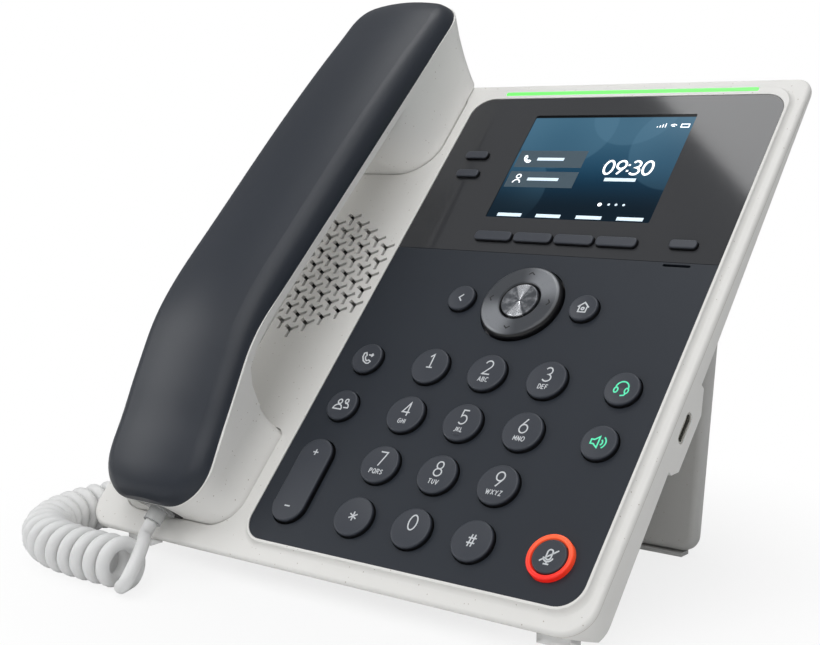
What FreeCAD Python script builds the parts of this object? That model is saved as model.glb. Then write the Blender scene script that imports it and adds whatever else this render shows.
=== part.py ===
import FreeCAD
import Part
import Sketcher
import math
import os
import re

# Desk telephone with a cradle handset, in millimetres, +Z up, standing on the plane Z = 0.
# The sloping front is laid out in a face frame: x to the right from the middle of the base, y up the slope
# from the lower edge, z out of the panels' surface. Pieces on the front are drawn there and then placed.

SIZES = {
    # stance on the desk
    "tilt": 46.7,
    "lift": 8.0,
    "setback": 62.0,
    # front housing
    "body_width": 181.0,
    "body_height": 188.0,
    "bottom_corner": 9.0,
    "top_corner": 5.0,
    "flange_drop": 1.3,
    "parting_drop": 2.7,
    "flange_round": 1.1,
    "cove": 1.3,
    "lip_width": 1.0,
    "lip_rise": 0.2,
    "lip_round": 0.35,
    "light_band": 3.4,
    # panels let into the front housing, and the handset beside them
    "cradle_width": 69.4,
    "side_margin": 4.7,
    "panel_width": "=body_width - cradle_width",
    "panel_x": "=cradle_width / 2 - side_margin",
    "handset_margin": 33.5,
    "handset_x": "=handset_margin - body_width / 2",
    "panel_bottom": 6.5,
    "panel_top": 180.1,
    "panel_split": 114.7,
    "panel_corner": 7.0,
    "panel_thick": 2.0,
    "panel_gap": 0.15,
    "ledge": 3.0,
    "ledge_thick": 1.6,
    "butt_corner": 0.4,
    # light bar, microphone slot and loudspeaker grille
    "light_inset": 10.55,
    "light_length": "=panel_width - 2 * light_inset",
    "light_height": 1.2,
    "light_y": 182.3,
    "mic_inset": 12.5,
    "mic_x": "=panel_x + panel_width / 2 - mic_inset",
    "mic_length": 8.6,
    "mic_height": 0.9,
    "mic_drop": 0.7,
    "grille_offset": 4.65,
    "grille_x": "=handset_x + grille_offset",
    "grille_y": 103.05,
    "grille_pitch": 5.9,
    "star_arm": 3.1,
    "star_slot": 1.15,
    # rear housing
    "wall": 2.2,
    "rear_floor": 1.6,
    "rear_low": 12.0,
    "rear_top": 5.4,
    "chin": 5.0,
    "rear_round": 2.4,
    "hump_width": 88.0,
    "hump_bottom": 62.0,
    "hump_flat": 86.0,
    "hump_top": 136.0,
    "hump_depth": 25.0,
    "hump_round": 3.0,
    "bump_bottom": 53.0,
    "bump_top": 80.0,
    "bump_slope": 6.0,
    "bump_depth": 13.3,
    "bump_width": 12.0,
    # feet and screws
    "foot_inset": 14.5,
    "foot_x": "=body_width / 2 - foot_inset",
    "foot_length": 10.0,
    "foot_width": 5.0,
    "foot_height": 5.0,
    "foot_setback": 13.0,
    "boss_inset": 6.1,
    "boss_x": "=body_width / 2 - boss_inset",
    "boss_gap": 0.2,
    "boss_low": 30.0,
    "boss_high": 125.0,
    "boss_diameter": 5.2,
    "screw_diameter": 2.9,
    "screw_length": 4.4,
    "screw_head": 5.4,
    "screw_head_height": 1.8,
    "screw_seat": 0.9,
    "screw_gap": 0.15,
    # stand
    "stand_lean": 81.9,
    "stand_width": 140.0,
    "stand_length": 113.0,
    "stand_thick": 6.0,
    "stand_corner": 5.0,
    "stand_edge": 2.4,
    "window_width": 98.0,
    "window_top": 15.0,
    "window_bottom": 98.5,
    "window_corner": 8.0,
    "stand_top": 7.0,
    "hinge_x": 57.0,
    "hinge_y": 158.0,
    "hinge_drop": 14.0,
    "knuckle_width": 12.0,
    "knuckle_diameter": 9.0,
    "lug_width": 4.5,
    "lug_gap": 0.4,
    "pin_diameter": 4.0,
    "pin_play": 0.1,
    "pad_x": 56.0,
    "pad_length": 20.0,
    "pad_width": 4.6,
    "pad_height": 1.2,
    # sockets in the hump and the side
    "jack_drop": 17.0,
    "jack_reach": 1.0,
    "lan_x": 11.0,
    "lan_pitch": 19.0,
    "lan_width": 16.0,
    "lan_height": 11.2,
    "lan_length": 19.0,
    "lan_port_width": 11.8,
    "lan_port_height": 8.2,
    "lan_port_depth": 13.0,
    "cord_jack_x": -32.0,
    "headset_jack_x": -16.0,
    "cord_jack_width": 11.2,
    "cord_jack_height": 10.0,
    "cord_jack_length": 15.0,
    "cord_port_width": 7.9,
    "cord_port_height": 6.8,
    "cord_port_depth": 11.4,
    "jack_gap": 0.15,
    "usb_y": 66.2,
    "usb_drop": 7.8,
    "usb_length": 9.2,
    "usb_height": 3.3,
    "usb_depth": 7.4,
    "usb_shell": 0.45,
    "usb_tongue": 0.7,
    # screen module
    "screen_width": 57.4,
    "screen_height": 43.4,
    "screen_y": 150.5,
    "screen_corner": 0.6,
    "screen_sink": 0.15,
    "screen_gap": 0.15,
    "screen_frame": 3.0,
    "screen_frame_top": 2.1,
    "screen_frame_bottom": 3.6,
    # boards behind the keys
    "membrane_top": 4.2,
    "membrane_thick": 0.6,
    "membrane_inset": 4.5,
    "membrane_height": 124.0,
    "board_top": 5.4,
    "board_thick": 1.6,
    "board_inset": 8.0,
    "board_height": 99.0,
    "speaker_diameter": 34.0,
    "speaker_top": 2.9,
    "speaker_thick": 2.6,
    "speaker_magnet": 16.0,
    "speaker_magnet_thick": 1.0,
    # keys
    "key_centre_y": 44.5,
    "key_pitch_x": 20.0,
    "key_pitch_y": 17.24,
    "dial_diameter": 12.3,
    "side_inset": 12.1,
    "side_x": "=panel_width / 2 - side_inset",
    "side_diameter": 10.5,
    "mute_diameter": 9.8,
    "mute_ring_diameter": 13.0,
    "mute_ring_rise": 1.6,
    "mute_gap": 0.25,
    "nav_y": 95.9,
    "nav_diameter": 26.0,
    "nav_rise": 2.2,
    "nav_bevel": 1.6,
    "nav_gap": 0.5,
    "nav_skirt_top": 2.6,
    "select_diameter": 11.8,
    "select_rise": 2.4,
    "gimbal_diameter": 22.0,
    "gimbal_bore": 15.0,
    "gimbal_thick": 0.5,
    "gimbal_drop": 3.6,
    "corner_x": 21.2,
    "corner_y": 95.7,
    "corner_diameter": 9.0,
    "key_rise": 1.6,
    "key_dish": 0.25,
    "key_round": 0.5,
    "key_gap": 0.3,
    "key_flange": 1.0,
    "key_flange_top": 2.15,
    "key_flange_thick": 0.85,
    "rocker_y": 26.8,
    "rocker_length": 28.0,
    "rocker_width": 11.4,
    "rocker_gap": 0.5,
    "rocker_flange_top": 2.9,
    "rocker_flange_thick": 0.6,
    "soft_pitch": 14.4,
    "soft_width": 13.4,
    "soft_height": 3.5,
    "soft_y": 120.5,
    "bar_width": 8.6,
    "bar_height": 3.0,
    "bar_rise": 1.2,
    "bar_gap": 0.2,
    "bar_round": 0.4,
    "bar_flange": 0.7,
    "line_y": 146.0,
    "line_pitch": 8.0,
    "more_inset": 12.8,
    "more_x": "=panel_width / 2 - more_inset",
    "more_y": 120.8,
    # handset, in the face frame
    "handset_width": 44.2,
    "ear_end": 206.5,
    "ear_end_z": 19.2,
    "knee_y": 58.5,
    "knee_z": 26.4,
    "knee_blend": 9.5,
    "mouth_end": 5.6,
    "mouth_end_z": 10.2,
    "crown_rise": 8.0,
    "crown_base": 12.0,
    "crown_round": 8.0,
    "crown_turn": 12.0,
    "ear_corner": 10.0,
    "mouth_corner": 14.0,
    "hollow_width": 30.0,
    "hollow_end": 12.0,
    "hollow_ear_rise": 3.0,
    "hollow_knee_rise": 1.2,
    "hollow_mouth_rise": 5.5,
    "shell_wall": 3.0,
    "grip_z": 13.6,
    "grip_width": 24.0,
    "grip_low": 46.0,
    "cup_clearance": 0.3,
    "cup_recess": 1.0,
    "cup_gap": 0.5,
    "cup_lift": 0.4,
    "recess_floor": 1.2,
    "recess_rim": 1.5,
    "ear_foot_width": 50.4,
    "ear_cup_bottom": 146.9,
    "ear_cup_top": 183.0,
    "ear_cup_corner": 13.5,
    "ear_heel": 4.0,
    "ear_brow": 7.5,
    "ear_waist_width": 46.4,
    "ear_waist_z": 6.0,
    "ear_waist_lean": 1.8,
    "ear_waist_reach": 13.0,
    "ear_waist_corner": 6.0,
    "ear_neck": 141.0,
    "ear_neck_corner": 17.0,
    "mouth_foot_width": 48.6,
    "mouth_cup_bottom": 8.0,
    "mouth_cup_top": 43.0,
    "mouth_cup_corner": 10.0,
    "mouth_heel": 3.0,
    "mouth_neck": 44.0,
    "mouth_neck_corner": 1.0,
    # inside the handset
    "receiver_y": 168.0,
    "receiver_diameter": 30.0,
    "receiver_thick": 8.0,
    "receiver_gap": 1.0,
    "cup_wall": 2.4,
    "channel_width": 22.0,
    "channel_top": 164.0,
    "channel_bottom": 26.0,
    "mouth_well_width": 30.0,
    "mouth_well_bottom": 20.5,
    "mouth_well_top": 38.0,
    "capsule_diameter": 9.7,
    "capsule_thick": 5.0,
    "capsule_y": 31.0,
    "ballast_width": 20.0,
    "ballast_thick": 4.5,
    "ballast_bottom": 62.0,
    "ballast_top": 138.0,
    "magnet_diameter": 8.0,
    "magnet_thick": 3.0,
    "magnet_x": 10.0,
    "handset_jack_z": 4.2,
    "handset_jack_y": 7.4,
    "handset_jack_length": 12.6,
    # cord
    "cord_diameter": 3.6,
    "coil_diameter": 15.0,
    "plug_width": 7.7,
    "plug_height": 6.6,
    "plug_length": 12.0,
    "plug_inset": 11.0,
    "boot_diameter": 5.6,
    "boot_length": 4.0,
    "tail_run": 8.0,
    "climb_run": 10.0,
}

# Stations of the handset's crown: distance up the slope, inset of its sides, and height of its crest.
CROWN = [
    ("ear_end", 10.0, 21.4),
    ("ear_end - 1.2", 5.2, 23.4),
    ("ear_end - 4", 2.0, 25.0),
    ("ear_end - 10.5", 0.0, 26.6),
    ("ear_end - 17", 0.0, 27.3),
    ("ear_end - 26", 0.0, 28.2),
    ("ear_end - 41.5", 0.0, 29.6),
    ("ear_end - 78.5", 0.0, 31.7),
    ("knee_y + 34", 0.0, 32.9),
    ("knee_y + 8", 0.0, 33.1),
    ("knee_y - 2", 0.0, 31.7),
    ("knee_y - 12", 0.0, 28.9),
    ("mouth_end + 30", 0.0, 25.5),
    ("mouth_end + 22", 0.0, 22.8),
    ("mouth_end + 16", 0.0, 21.2),
    ("mouth_end + 11.4", 0.2, 19.8),
    ("mouth_end + 4.9", 3.4, 17.4),
    ("mouth_end + 1.4", 7.9, 15.0),
    ("mouth_end", 14.0, 13.0),
]
# Stations of the bevel under the handle's sides: distance up the slope, and height of its upper edge.
GRIP = [
    ("mouth_neck", "mouth_end_z + 0.8"),
    ("mouth_neck + 2.5", "grip_z + 3.6"),
    ("mouth_neck + 6", "knee_z - 5.4"),
    ("mouth_neck + 12", "knee_z - 3.4"),
    ("knee_y + 5.5", "knee_z - 2.7"),
    ("receiver_y", "ear_end_z - 0.3"),
]
# Share of a bar key's height that its corner radius takes.
BAR_ROUND = 0.4
# Route of the cord, seen from the middle of the front edge: the handset tail's last points, the coil's own
# axis, and the first points of the tail that climbs to the plug in the back.
HANDSET_TAIL = [(-55.2, -13.6, 3.0), (-50.8, -19.8, 2.6), (-46.5, -24.1, 3.6)]
COIL_ROUTE = [
    (-43.0, -23.6, 7.6),
    (-59.0, -24.2, 7.6),
    (-75.0, -23.2, 7.6),
    (-88.5, -16.6, 7.6),
    (-97.0, -4.1, 7.6),
    (-99.6, 10.9, 7.6),
    (-97.0, 25.9, 7.6),
    (-87.5, 38.9, 7.6),
    (-72.5, 46.4, 7.6),
    (-56.0, 47.9, 7.6),
]
BASE_TAIL = [(-47.4, 48.7, 7.6), (-39.3, 46.3, 11.9), (-35.1, 42.9, 21.1)]
# share of the shorter run that an arc takes up at each of its ends
ARC_SHARE = 0.45

doc = FreeCAD.newDocument("desk_phone")
sheet = doc.addObject("Spreadsheet::Sheet", "sizes")
for row, (name, value) in enumerate(SIZES.items(), start=1):
    sheet.set(f"A{row}", name)
    sheet.set(f"B{row}", str(value))
    sheet.setAlias(f"B{row}", name)
doc.recompute()

nodes = []


def sized(text):
    """Turn the size names in an expression into references to the sheet."""
    return re.sub(
        r"[a-z][a-z_]*",
        lambda word: f"sizes.{word.group()}" if word.group() in SIZES else word.group(),
        str(text),
    )


def number(text):
    """Work out an expression of sizes as a plain number."""
    return float(sheet.evalExpression(sized(text)))


def bind(item, prop, text):
    """Drive a property of an item by an expression of sizes."""
    item.setExpression(prop, sized(text))


def keep(item, label):
    """Name an item as one of the finished pieces."""
    item.Label = label
    nodes.append(item)
    return item


def set_at(item, x, y, z):
    """Bind an item's position to a point of the face frame."""
    bind(item, "Placement.Base.x", x)
    bind(item, "Placement.Base.y", f"({y}) * cos(tilt) - ({z}) * sin(tilt) - setback")
    bind(item, "Placement.Base.z", f"({y}) * sin(tilt) + ({z}) * cos(tilt) + lift")


def on_face(item, x="0", y="0", z="0", lean="tilt"):
    """Place an item at a point of the face frame, leaning about the X axis."""
    item.Placement = FreeCAD.Placement(FreeCAD.Vector(), FreeCAD.Rotation(FreeCAD.Vector(1, 0, 0), 1))
    bind(item, "Placement.Rotation.Angle", lean)
    set_at(item, x, y, z)
    return item


def new_body(name):
    """Start a body that lies in the face frame."""
    return on_face(doc.addObject("PartDesign::Body", name))


def new_sketch(body, role="XY_Plane", height="0"):
    """Start a sketch on one of a body's origin planes, raised by a height."""
    sketch = body.newObject("Sketcher::SketchObject", "Sketch")
    plane = next(item for item in body.Origin.OriginFeatures if item.Role == role)
    sketch.AttachmentSupport = [(plane, "")]
    sketch.MapMode = "FlatFace"
    bind(sketch, "AttachmentOffset.Base.z", height)
    return sketch


def dimension(sketch, kind, parts, text):
    """Add a driving constraint whose value follows an expression of sizes."""
    index = sketch.addConstraint(Sketcher.Constraint(kind, *parts, number(text)))
    bind(sketch, f"Constraints[{index}]", text)


def pin_down(sketch, geometry, point, x, y):
    """Fix a sketch point at a distance from the sketch's origin."""
    dimension(sketch, "DistanceX", (-1, 1, geometry, point), x)
    dimension(sketch, "DistanceY", (-1, 1, geometry, point), y)


def circle(sketch, diameter, x="0", y="0"):
    """Draw a circle."""
    centre = FreeCAD.Vector(number(x), number(y), 0)
    index = sketch.addGeometry(Part.Circle(centre, FreeCAD.Vector(0, 0, 1), number(diameter) / 2))
    pin_down(sketch, index, 3, x, y)
    dimension(sketch, "Diameter", (index,), diameter)


def arc_about(x, y, radius, start, end):
    """Make an arc of a circle between two angles in degrees."""
    ring = Part.Circle(FreeCAD.Vector(x, y, 0), FreeCAD.Vector(0, 0, 1), radius)
    return Part.ArcOfCircle(ring, math.radians(start), math.radians(end))


def rounded_rectangle(sketch, left, right, bottom, top, radius, top_radius=None):
    """Draw a rectangle with round corners, with its own radius at the upper two."""
    x_low, x_high, y_low, y_high = (number(text) for text in (left, right, bottom, top))
    low = number(radius)
    high = number(top_radius or radius)
    segment = lambda a, b: Part.LineSegment(FreeCAD.Vector(*a, 0), FreeCAD.Vector(*b, 0))
    first = sketch.GeometryCount
    sketch.addGeometry(
        [
            segment((x_low + low, y_low), (x_high - low, y_low)),
            arc_about(x_high - low, y_low + low, low, -90, 0),
            segment((x_high, y_low + low), (x_high, y_high - high)),
            arc_about(x_high - high, y_high - high, high, 0, 90),
            segment((x_high - high, y_high), (x_low + high, y_high)),
            arc_about(x_low + high, y_high - high, high, 90, 180),
            segment((x_low, y_high - high), (x_low, y_low + low)),
            arc_about(x_low + low, y_low + low, low, 180, 270),
        ]
    )
    for side in range(8):
        sketch.addConstraint(Sketcher.Constraint("Tangent", first + side, 2, first + (side + 1) % 8, 1))
    for side in (0, 4):
        sketch.addConstraint(Sketcher.Constraint("Horizontal", first + side))
    for side in (2, 6):
        sketch.addConstraint(Sketcher.Constraint("Vertical", first + side))
    dimension(sketch, "DistanceY", (-1, 1, first, 1), bottom)
    dimension(sketch, "DistanceX", (-1, 1, first + 2, 1), right)
    dimension(sketch, "DistanceY", (-1, 1, first + 4, 1), top)
    dimension(sketch, "DistanceX", (-1, 1, first + 6, 1), left)
    sketch.addConstraint(Sketcher.Constraint("Equal", first + 1, first + 7))
    sketch.addConstraint(Sketcher.Constraint("Equal", first + 3, first + 5))
    dimension(sketch, "Radius", (first + 1,), radius)
    dimension(sketch, "Radius", (first + 3,), top_radius or radius)


def centred_rectangle(sketch, width, height, radius, x="0", y="0"):
    """Draw a rounded rectangle about a centre."""
    rounded_rectangle(
        sketch,
        f"{x} - ({width}) / 2",
        f"{x} + ({width}) / 2",
        f"{y} - ({height}) / 2",
        f"{y} + ({height}) / 2",
        radius,
    )


def slot(sketch, width, length, x, y):
    """Draw an upright slot with round ends about a centre."""
    radius = number(width) / 2
    half = number(length) / 2 - radius
    cx = number(x)
    cy = number(y)
    first = sketch.GeometryCount
    segment = lambda a, b: Part.LineSegment(FreeCAD.Vector(*a, 0), FreeCAD.Vector(*b, 0))
    sketch.addGeometry(
        [
            segment((cx + radius, cy - half), (cx + radius, cy + half)),
            arc_about(cx, cy + half, radius, 0, 180),
            segment((cx - radius, cy + half), (cx - radius, cy - half)),
            arc_about(cx, cy - half, radius, 180, 360),
        ]
    )
    for side in range(4):
        sketch.addConstraint(Sketcher.Constraint("Tangent", first + side, 2, first + (side + 1) % 4, 1))
    sketch.addConstraint(Sketcher.Constraint("Vertical", first))
    pin_down(sketch, first + 1, 3, x, f"{y} + (({length}) - ({width})) / 2")
    dimension(sketch, "DistanceY", (-1, 1, first + 3, 3), f"{y} - (({length}) - ({width})) / 2")
    dimension(sketch, "Radius", (first + 1,), f"({width}) / 2")


def arc_between(start, end, radius):
    """Make the shorter arc between two points; a positive radius bends to the left of the way."""
    chord = end - start
    middle = (start + end) * 0.5
    aside = FreeCAD.Vector(-chord.y, chord.x, 0).normalize()
    sagitta = abs(radius) - math.sqrt(radius * radius - chord.Length * chord.Length / 4)
    return Part.Arc(start, middle - aside * math.copysign(sagitta, radius), end)


def outline(sketch, corners, arcs=None):
    """Draw a closed outline through corners; arcs gives the radius of the sides that are arcs."""
    arcs = arcs or {}
    places = [FreeCAD.Vector(number(x), number(y), 0) for x, y in corners]
    first = sketch.GeometryCount
    ends = []
    for side, start in enumerate(places):
        end = places[(side + 1) % len(places)]
        if side in arcs:
            index = sketch.addGeometry(arc_between(start, end, number(arcs[side])))
        else:
            index = sketch.addGeometry(Part.LineSegment(start, end))
        forward = sketch.getPoint(index, 1).distanceToPoint(start) < 1e-6
        ends.append((1, 2) if forward else (2, 1))
    for side, corner in enumerate(corners):
        following = (side + 1) % len(corners)
        sketch.addConstraint(
            Sketcher.Constraint(
                "Coincident", first + side, ends[side][1], first + following, ends[following][0]
            )
        )
        pin_down(sketch, first + side, ends[side][0], *corner)
        if side in arcs:
            dimension(sketch, "Radius", (first + side,), f"abs({arcs[side]})")


def pad(body, sketch, length, reverse=False, symmetric=False):
    """Raise a sketch into a solid."""
    feature = body.newObject("PartDesign::Pad", "Pad")
    feature.Profile = sketch
    feature.Reversed = reverse
    feature.SideType = "Symmetric" if symmetric else "One side"
    bind(feature, "Length", length)
    return feature


def pocket(body, sketch, depth=None, symmetric=False, reverse=False):
    """Cut a sketch into the body, right through where no depth is given, and see that it cut."""
    doc.recompute()
    before = body.Shape.Volume
    feature = body.newObject("PartDesign::Pocket", "Pocket")
    feature.Profile = sketch
    feature.Reversed = reverse
    feature.SideType = "Symmetric" if symmetric else "One side"
    if depth is None:
        feature.Type = "ThroughAll"
    else:
        bind(feature, "Length", depth)
    doc.recompute()
    if feature.Shape.Volume > before - 1e-3:
        raise RuntimeError(f"a pocket of {body.Name} cut nothing")
    return feature


def fillet(body, radius, chosen):
    """Round the edges of the body's last feature that a test picks."""
    doc.recompute()
    base = body.Tip
    edges = [f"Edge{index}" for index, edge in enumerate(base.Shape.Edges, start=1) if chosen(edge)]
    if not edges:
        raise RuntimeError(f"no edge of {body.Name} to round")
    feature = body.newObject("PartDesign::Fillet", "Fillet")
    feature.Base = (base, edges)
    bind(feature, "Radius", radius)
    doc.recompute()
    return feature


def level(height):
    """Make a test for the edges that lie flat at a height of the body."""
    z = number(height)
    return lambda edge: abs(edge.BoundBox.ZMin - z) < 1e-4 and abs(edge.BoundBox.ZMax - z) < 1e-4


def block(length, width, height, x, y, z):
    """Make a box in the face frame from its middle in x and its low corner in y and z."""
    box = doc.addObject("Part::Box", "Box")
    bind(box, "Length", length)
    bind(box, "Width", width)
    bind(box, "Height", height)
    return on_face(box, f"({x}) - ({length}) / 2", y, z)


def post(diameter, height, x, y, z):
    """Make a cylinder square to the face from its low end."""
    cylinder = doc.addObject("Part::Cylinder", "Cylinder")
    bind(cylinder, "Radius", f"({diameter}) / 2")
    bind(cylinder, "Height", height)
    return on_face(cylinder, x, y, z)


def cross_bar(diameter, length, x, y, z):
    """Make a cylinder along the X axis about its middle, at a point of the face frame."""
    cylinder = doc.addObject("Part::Cylinder", "Bar")
    bind(cylinder, "Radius", f"({diameter}) / 2")
    bind(cylinder, "Height", length)
    cylinder.Placement = FreeCAD.Placement(FreeCAD.Vector(), FreeCAD.Rotation(FreeCAD.Vector(0, 1, 0), 90))
    set_at(cylinder, f"({x}) - ({length}) / 2", y, z)
    return cylinder


def desk_block(length, width, height, x, y, z):
    """Make a box square to the desk about its middle in x and y, from its low face."""
    box = doc.addObject("Part::Box", "Box")
    bind(box, "Length", length)
    bind(box, "Width", width)
    bind(box, "Height", height)
    bind(box, "Placement.Base.x", f"({x}) - ({length}) / 2")
    bind(box, "Placement.Base.y", f"({y}) - ({width}) / 2")
    bind(box, "Placement.Base.z", z)
    return box


def joined(items):
    """Fuse several items into one."""
    fusion = doc.addObject("Part::MultiFuse", "Fusion")
    fusion.Shapes = items
    return fusion


def cut(base, tools):
    """Cut several items out of a base."""
    result = doc.addObject("Part::Cut", "Cut")
    result.Base = base
    result.Tool = tools[0] if len(tools) == 1 else joined(tools)
    return result


def group(items):
    """Hold several separate solids as one piece."""
    compound = doc.addObject("Part::Compound", "Group")
    compound.Links = items
    return compound


def rear_z(y):
    """Give the height of the rear housing's outer back surface at a place up the slope."""
    return f"((rear_low - rear_top) * (({y}) - chin) / (body_height - chin) - rear_low)"


# the grille's lattice: its angle in degrees, and the holes along each of its six sides
LATTICE_ANGLE = 60
GRILLE_SIDE = 5


def star(x, y):
    """Make the outline of one three-armed hole of the grille."""
    arm = number("star_arm")
    half = number("star_slot") / 2
    corners = []
    lattice = math.radians(LATTICE_ANGLE)
    reach = half / math.sin(lattice)
    for arm_index in range(3):
        turn = lattice / 2 + 2 * lattice * arm_index
        along = FreeCAD.Vector(math.cos(turn), math.sin(turn), 0)
        aside = FreeCAD.Vector(-along.y, along.x, 0)
        corners.append(along * arm - aside * half)
        corners.append(along * arm + aside * half)
        corners.append(FreeCAD.Vector(math.cos(turn + lattice), math.sin(turn + lattice), 0) * reach)
    centre = FreeCAD.Vector(x, y, 0)
    places = [centre + corner for corner in corners]
    return Part.Face(Part.makePolygon(places + places[:1]))


def grille_holes():
    """Make the cutter of the grille: three-armed holes on a six-sided lattice."""
    pitch = number("grille_pitch")
    column_pitch = pitch * math.sin(math.radians(LATTICE_ANGLE))
    through = FreeCAD.Vector(0, 0, number("2 * parting_drop"))
    cuts = []
    for column in range(1 - GRILLE_SIDE, GRILLE_SIDE):
        rows = 2 * GRILLE_SIDE - 1 - abs(column)
        for row in range(rows):
            x = number("grille_x") + column * column_pitch
            y = number("grille_y") + (row - (rows - 1) / 2) * pitch
            cuts.append(star(x, y).extrude(through).translated(-through))
    cutter = doc.addObject("Part::Feature", "Grille")
    cutter.Shape = Part.makeCompound(cuts)
    return on_face(cutter)


def cup_footprint(sketch, width, bottom, top, radius, top_radius, margin):
    """Draw the plan of one of the handset's cups with a margin round it."""
    rounded_rectangle(
        sketch,
        f"handset_x - {width} / 2 - ({margin})",
        f"handset_x + {width} / 2 + ({margin})",
        f"{bottom} - ({margin})",
        f"{top} + ({margin})",
        f"{radius} + ({margin})",
        f"{top_radius} + ({margin})",
    )


CUPS = [
    ("mouth_foot_width", "mouth_cup_bottom", "mouth_cup_top", "mouth_cup_corner", "mouth_heel"),
    ("ear_foot_width", "ear_cup_bottom", "ear_cup_top", "ear_cup_corner", "ear_heel"),
]
BOSSES = [(side, y) for side in (-1, 1) for y in ("boss_low", "boss_high")]


def front_housing():
    """White front moulding: flange, raised lip round the panels, cradle seats, grille and screw bosses."""
    body = new_body("front_moulding")
    sketch = new_sketch(body, height="-parting_drop")
    rounded_rectangle(
        sketch, "-body_width / 2", "body_width / 2", "0", "body_height", "bottom_corner", "top_corner"
    )
    pad(body, sketch, "parting_drop - flange_drop")
    fillet(body, "flange_round", level("-flange_drop"))
    sketch = new_sketch(body, height="-panel_thick - ledge_thick")
    rounded_rectangle(
        sketch,
        "panel_x - panel_width / 2 - lip_width",
        "panel_x + panel_width / 2 + lip_width",
        "panel_bottom - lip_width",
        "panel_top + light_band",
        "panel_corner + lip_width",
    )
    pad(body, sketch, "panel_thick + ledge_thick + lip_rise")
    fillet(body, "lip_round", level("lip_rise"))
    flat = level("-flange_drop")
    reach = number("panel_width / 2 + lip_width") + 0.2
    low = number("panel_bottom - lip_width") - 0.2
    high = number("panel_top + light_band") + 0.2
    fillet(
        body,
        "cove",
        lambda edge: flat(edge)
        and abs(edge.CenterOfMass.x - number("panel_x")) < reach
        and low < edge.CenterOfMass.y < high,
    )
    for cup in CUPS:
        sketch = new_sketch(body, height="-parting_drop")
        cup_footprint(sketch, *cup, "cup_gap + recess_rim")
        pad(body, sketch, "flange_drop + cup_recess + recess_floor - parting_drop", reverse=True)
    for side, y in BOSSES:
        sketch = new_sketch(body, height="-parting_drop")
        circle(sketch, "boss_diameter", f"{side} * boss_x", y)
        pad(body, sketch, f"-({rear_z(y)}) - rear_floor - boss_gap - parting_drop", reverse=True)
    for cup in CUPS:
        sketch = new_sketch(body, height="-flange_drop")
        cup_footprint(sketch, *cup, "cup_gap")
        pocket(body, sketch, "cup_recess")
    sketch = new_sketch(body, height="lip_rise")
    rounded_rectangle(
        sketch,
        "panel_x - panel_width / 2 - panel_gap",
        "panel_x + panel_width / 2 + panel_gap",
        "panel_bottom - panel_gap",
        "panel_top + panel_gap",
        "panel_corner + panel_gap",
    )
    pocket(body, sketch, "lip_rise + panel_thick")
    sketch = new_sketch(body, height="lip_rise")
    rounded_rectangle(
        sketch,
        "panel_x - panel_width / 2 + ledge",
        "panel_x + panel_width / 2 - ledge",
        "panel_bottom + ledge",
        "panel_top - ledge",
        "panel_corner - ledge",
    )
    pocket(body, sketch)
    sketch = new_sketch(body, height="lip_rise")
    centred_rectangle(
        sketch,
        "light_length + 2 * panel_gap",
        "light_height + 2 * panel_gap",
        "butt_corner",
        "panel_x",
        "light_y",
    )
    pocket(body, sketch)
    holes = [grille_holes()]
    for side, y in BOSSES:
        holes.append(post("screw_diameter", "screw_length", f"{side} * boss_x", y, rear_z(y)))
    keep(cut(body, holes), "front_housing")


def wedge(name, inset, floor, rise):
    """Make the rear housing's wedge, or its hollow when it is inset."""
    body = new_body(name)
    sketch = new_sketch(body, height=f"{rise} - parting_drop")
    rounded_rectangle(
        sketch,
        f"{inset} - body_width / 2",
        f"body_width / 2 - ({inset})",
        inset,
        f"body_height - ({inset})",
        f"bottom_corner - ({inset})",
        f"top_corner - ({inset})",
    )
    pad(body, sketch, f"rear_low - parting_drop + {rise}", reverse=True)
    sketch = new_sketch(body, "YZ_Plane")
    slack = "rear_low"
    outline(
        sketch,
        [
            (inset, "-parting_drop"),
            (f"chin + ({inset})", f"{floor} - rear_low"),
            ("body_height", f"{floor} - rear_top"),
            (f"body_height + {slack}", f"{floor} - rear_top"),
            (f"body_height + {slack}", f"-rear_low - {slack}"),
            (f"-{slack}", f"-rear_low - {slack}"),
            (f"-{slack}", "-parting_drop"),
        ],
    )
    pocket(body, sketch, symmetric=True)
    return body


def hump(name, inset):
    """Make the hump on the back that holds the sockets, or its hollow when it is inset."""
    body = new_body(name)
    sketch = new_sketch(body, "YZ_Plane")
    outline(
        sketch,
        [
            (f"hump_bottom + {inset}", "-parting_drop"),
            (f"hump_bottom + {inset}", f"{inset} - hump_depth"),
            ("hump_flat", f"{inset} - hump_depth"),
            (f"hump_top - {inset}", f"{rear_z('hump_top')} + {inset}"),
            (f"hump_top - {inset}", "-parting_drop"),
        ],
    )
    pad(body, sketch, f"hump_width - 2 * ({inset})", symmetric=True)
    return body


def jack_ports():
    """List the sockets in the hump's lower wall: place, width and height of the opening."""
    ports = [(f"lan_x + {index} * lan_pitch", "lan_width", "lan_height") for index in (0, 1)]
    ports += [(x, "cord_jack_width", "cord_jack_height") for x in ("cord_jack_x", "headset_jack_x")]
    return ports


def usb_bump(name, inset):
    """Make the bulge of the side wall round the USB socket, or its hollow when it is inset."""
    body = new_body(name)
    sketch = new_sketch(body, "YZ_Plane", f"body_width / 2 - {inset}")
    outline(
        sketch,
        [
            (f"bump_bottom + {inset}", "-parting_drop"),
            (f"bump_bottom + {inset}", f"{rear_z('bump_bottom')} + {inset}"),
            (f"bump_bottom + bump_slope / 2 + {inset}", f"{inset} - bump_depth"),
            (f"bump_top - bump_slope - {inset}", f"{inset} - bump_depth"),
            (f"bump_top - {inset}", f"{rear_z('bump_top')} + {inset}"),
            (f"bump_top - {inset}", "-parting_drop"),
        ],
    )
    pad(body, sketch, f"bump_width - {inset}", reverse=True)
    return body


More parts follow.
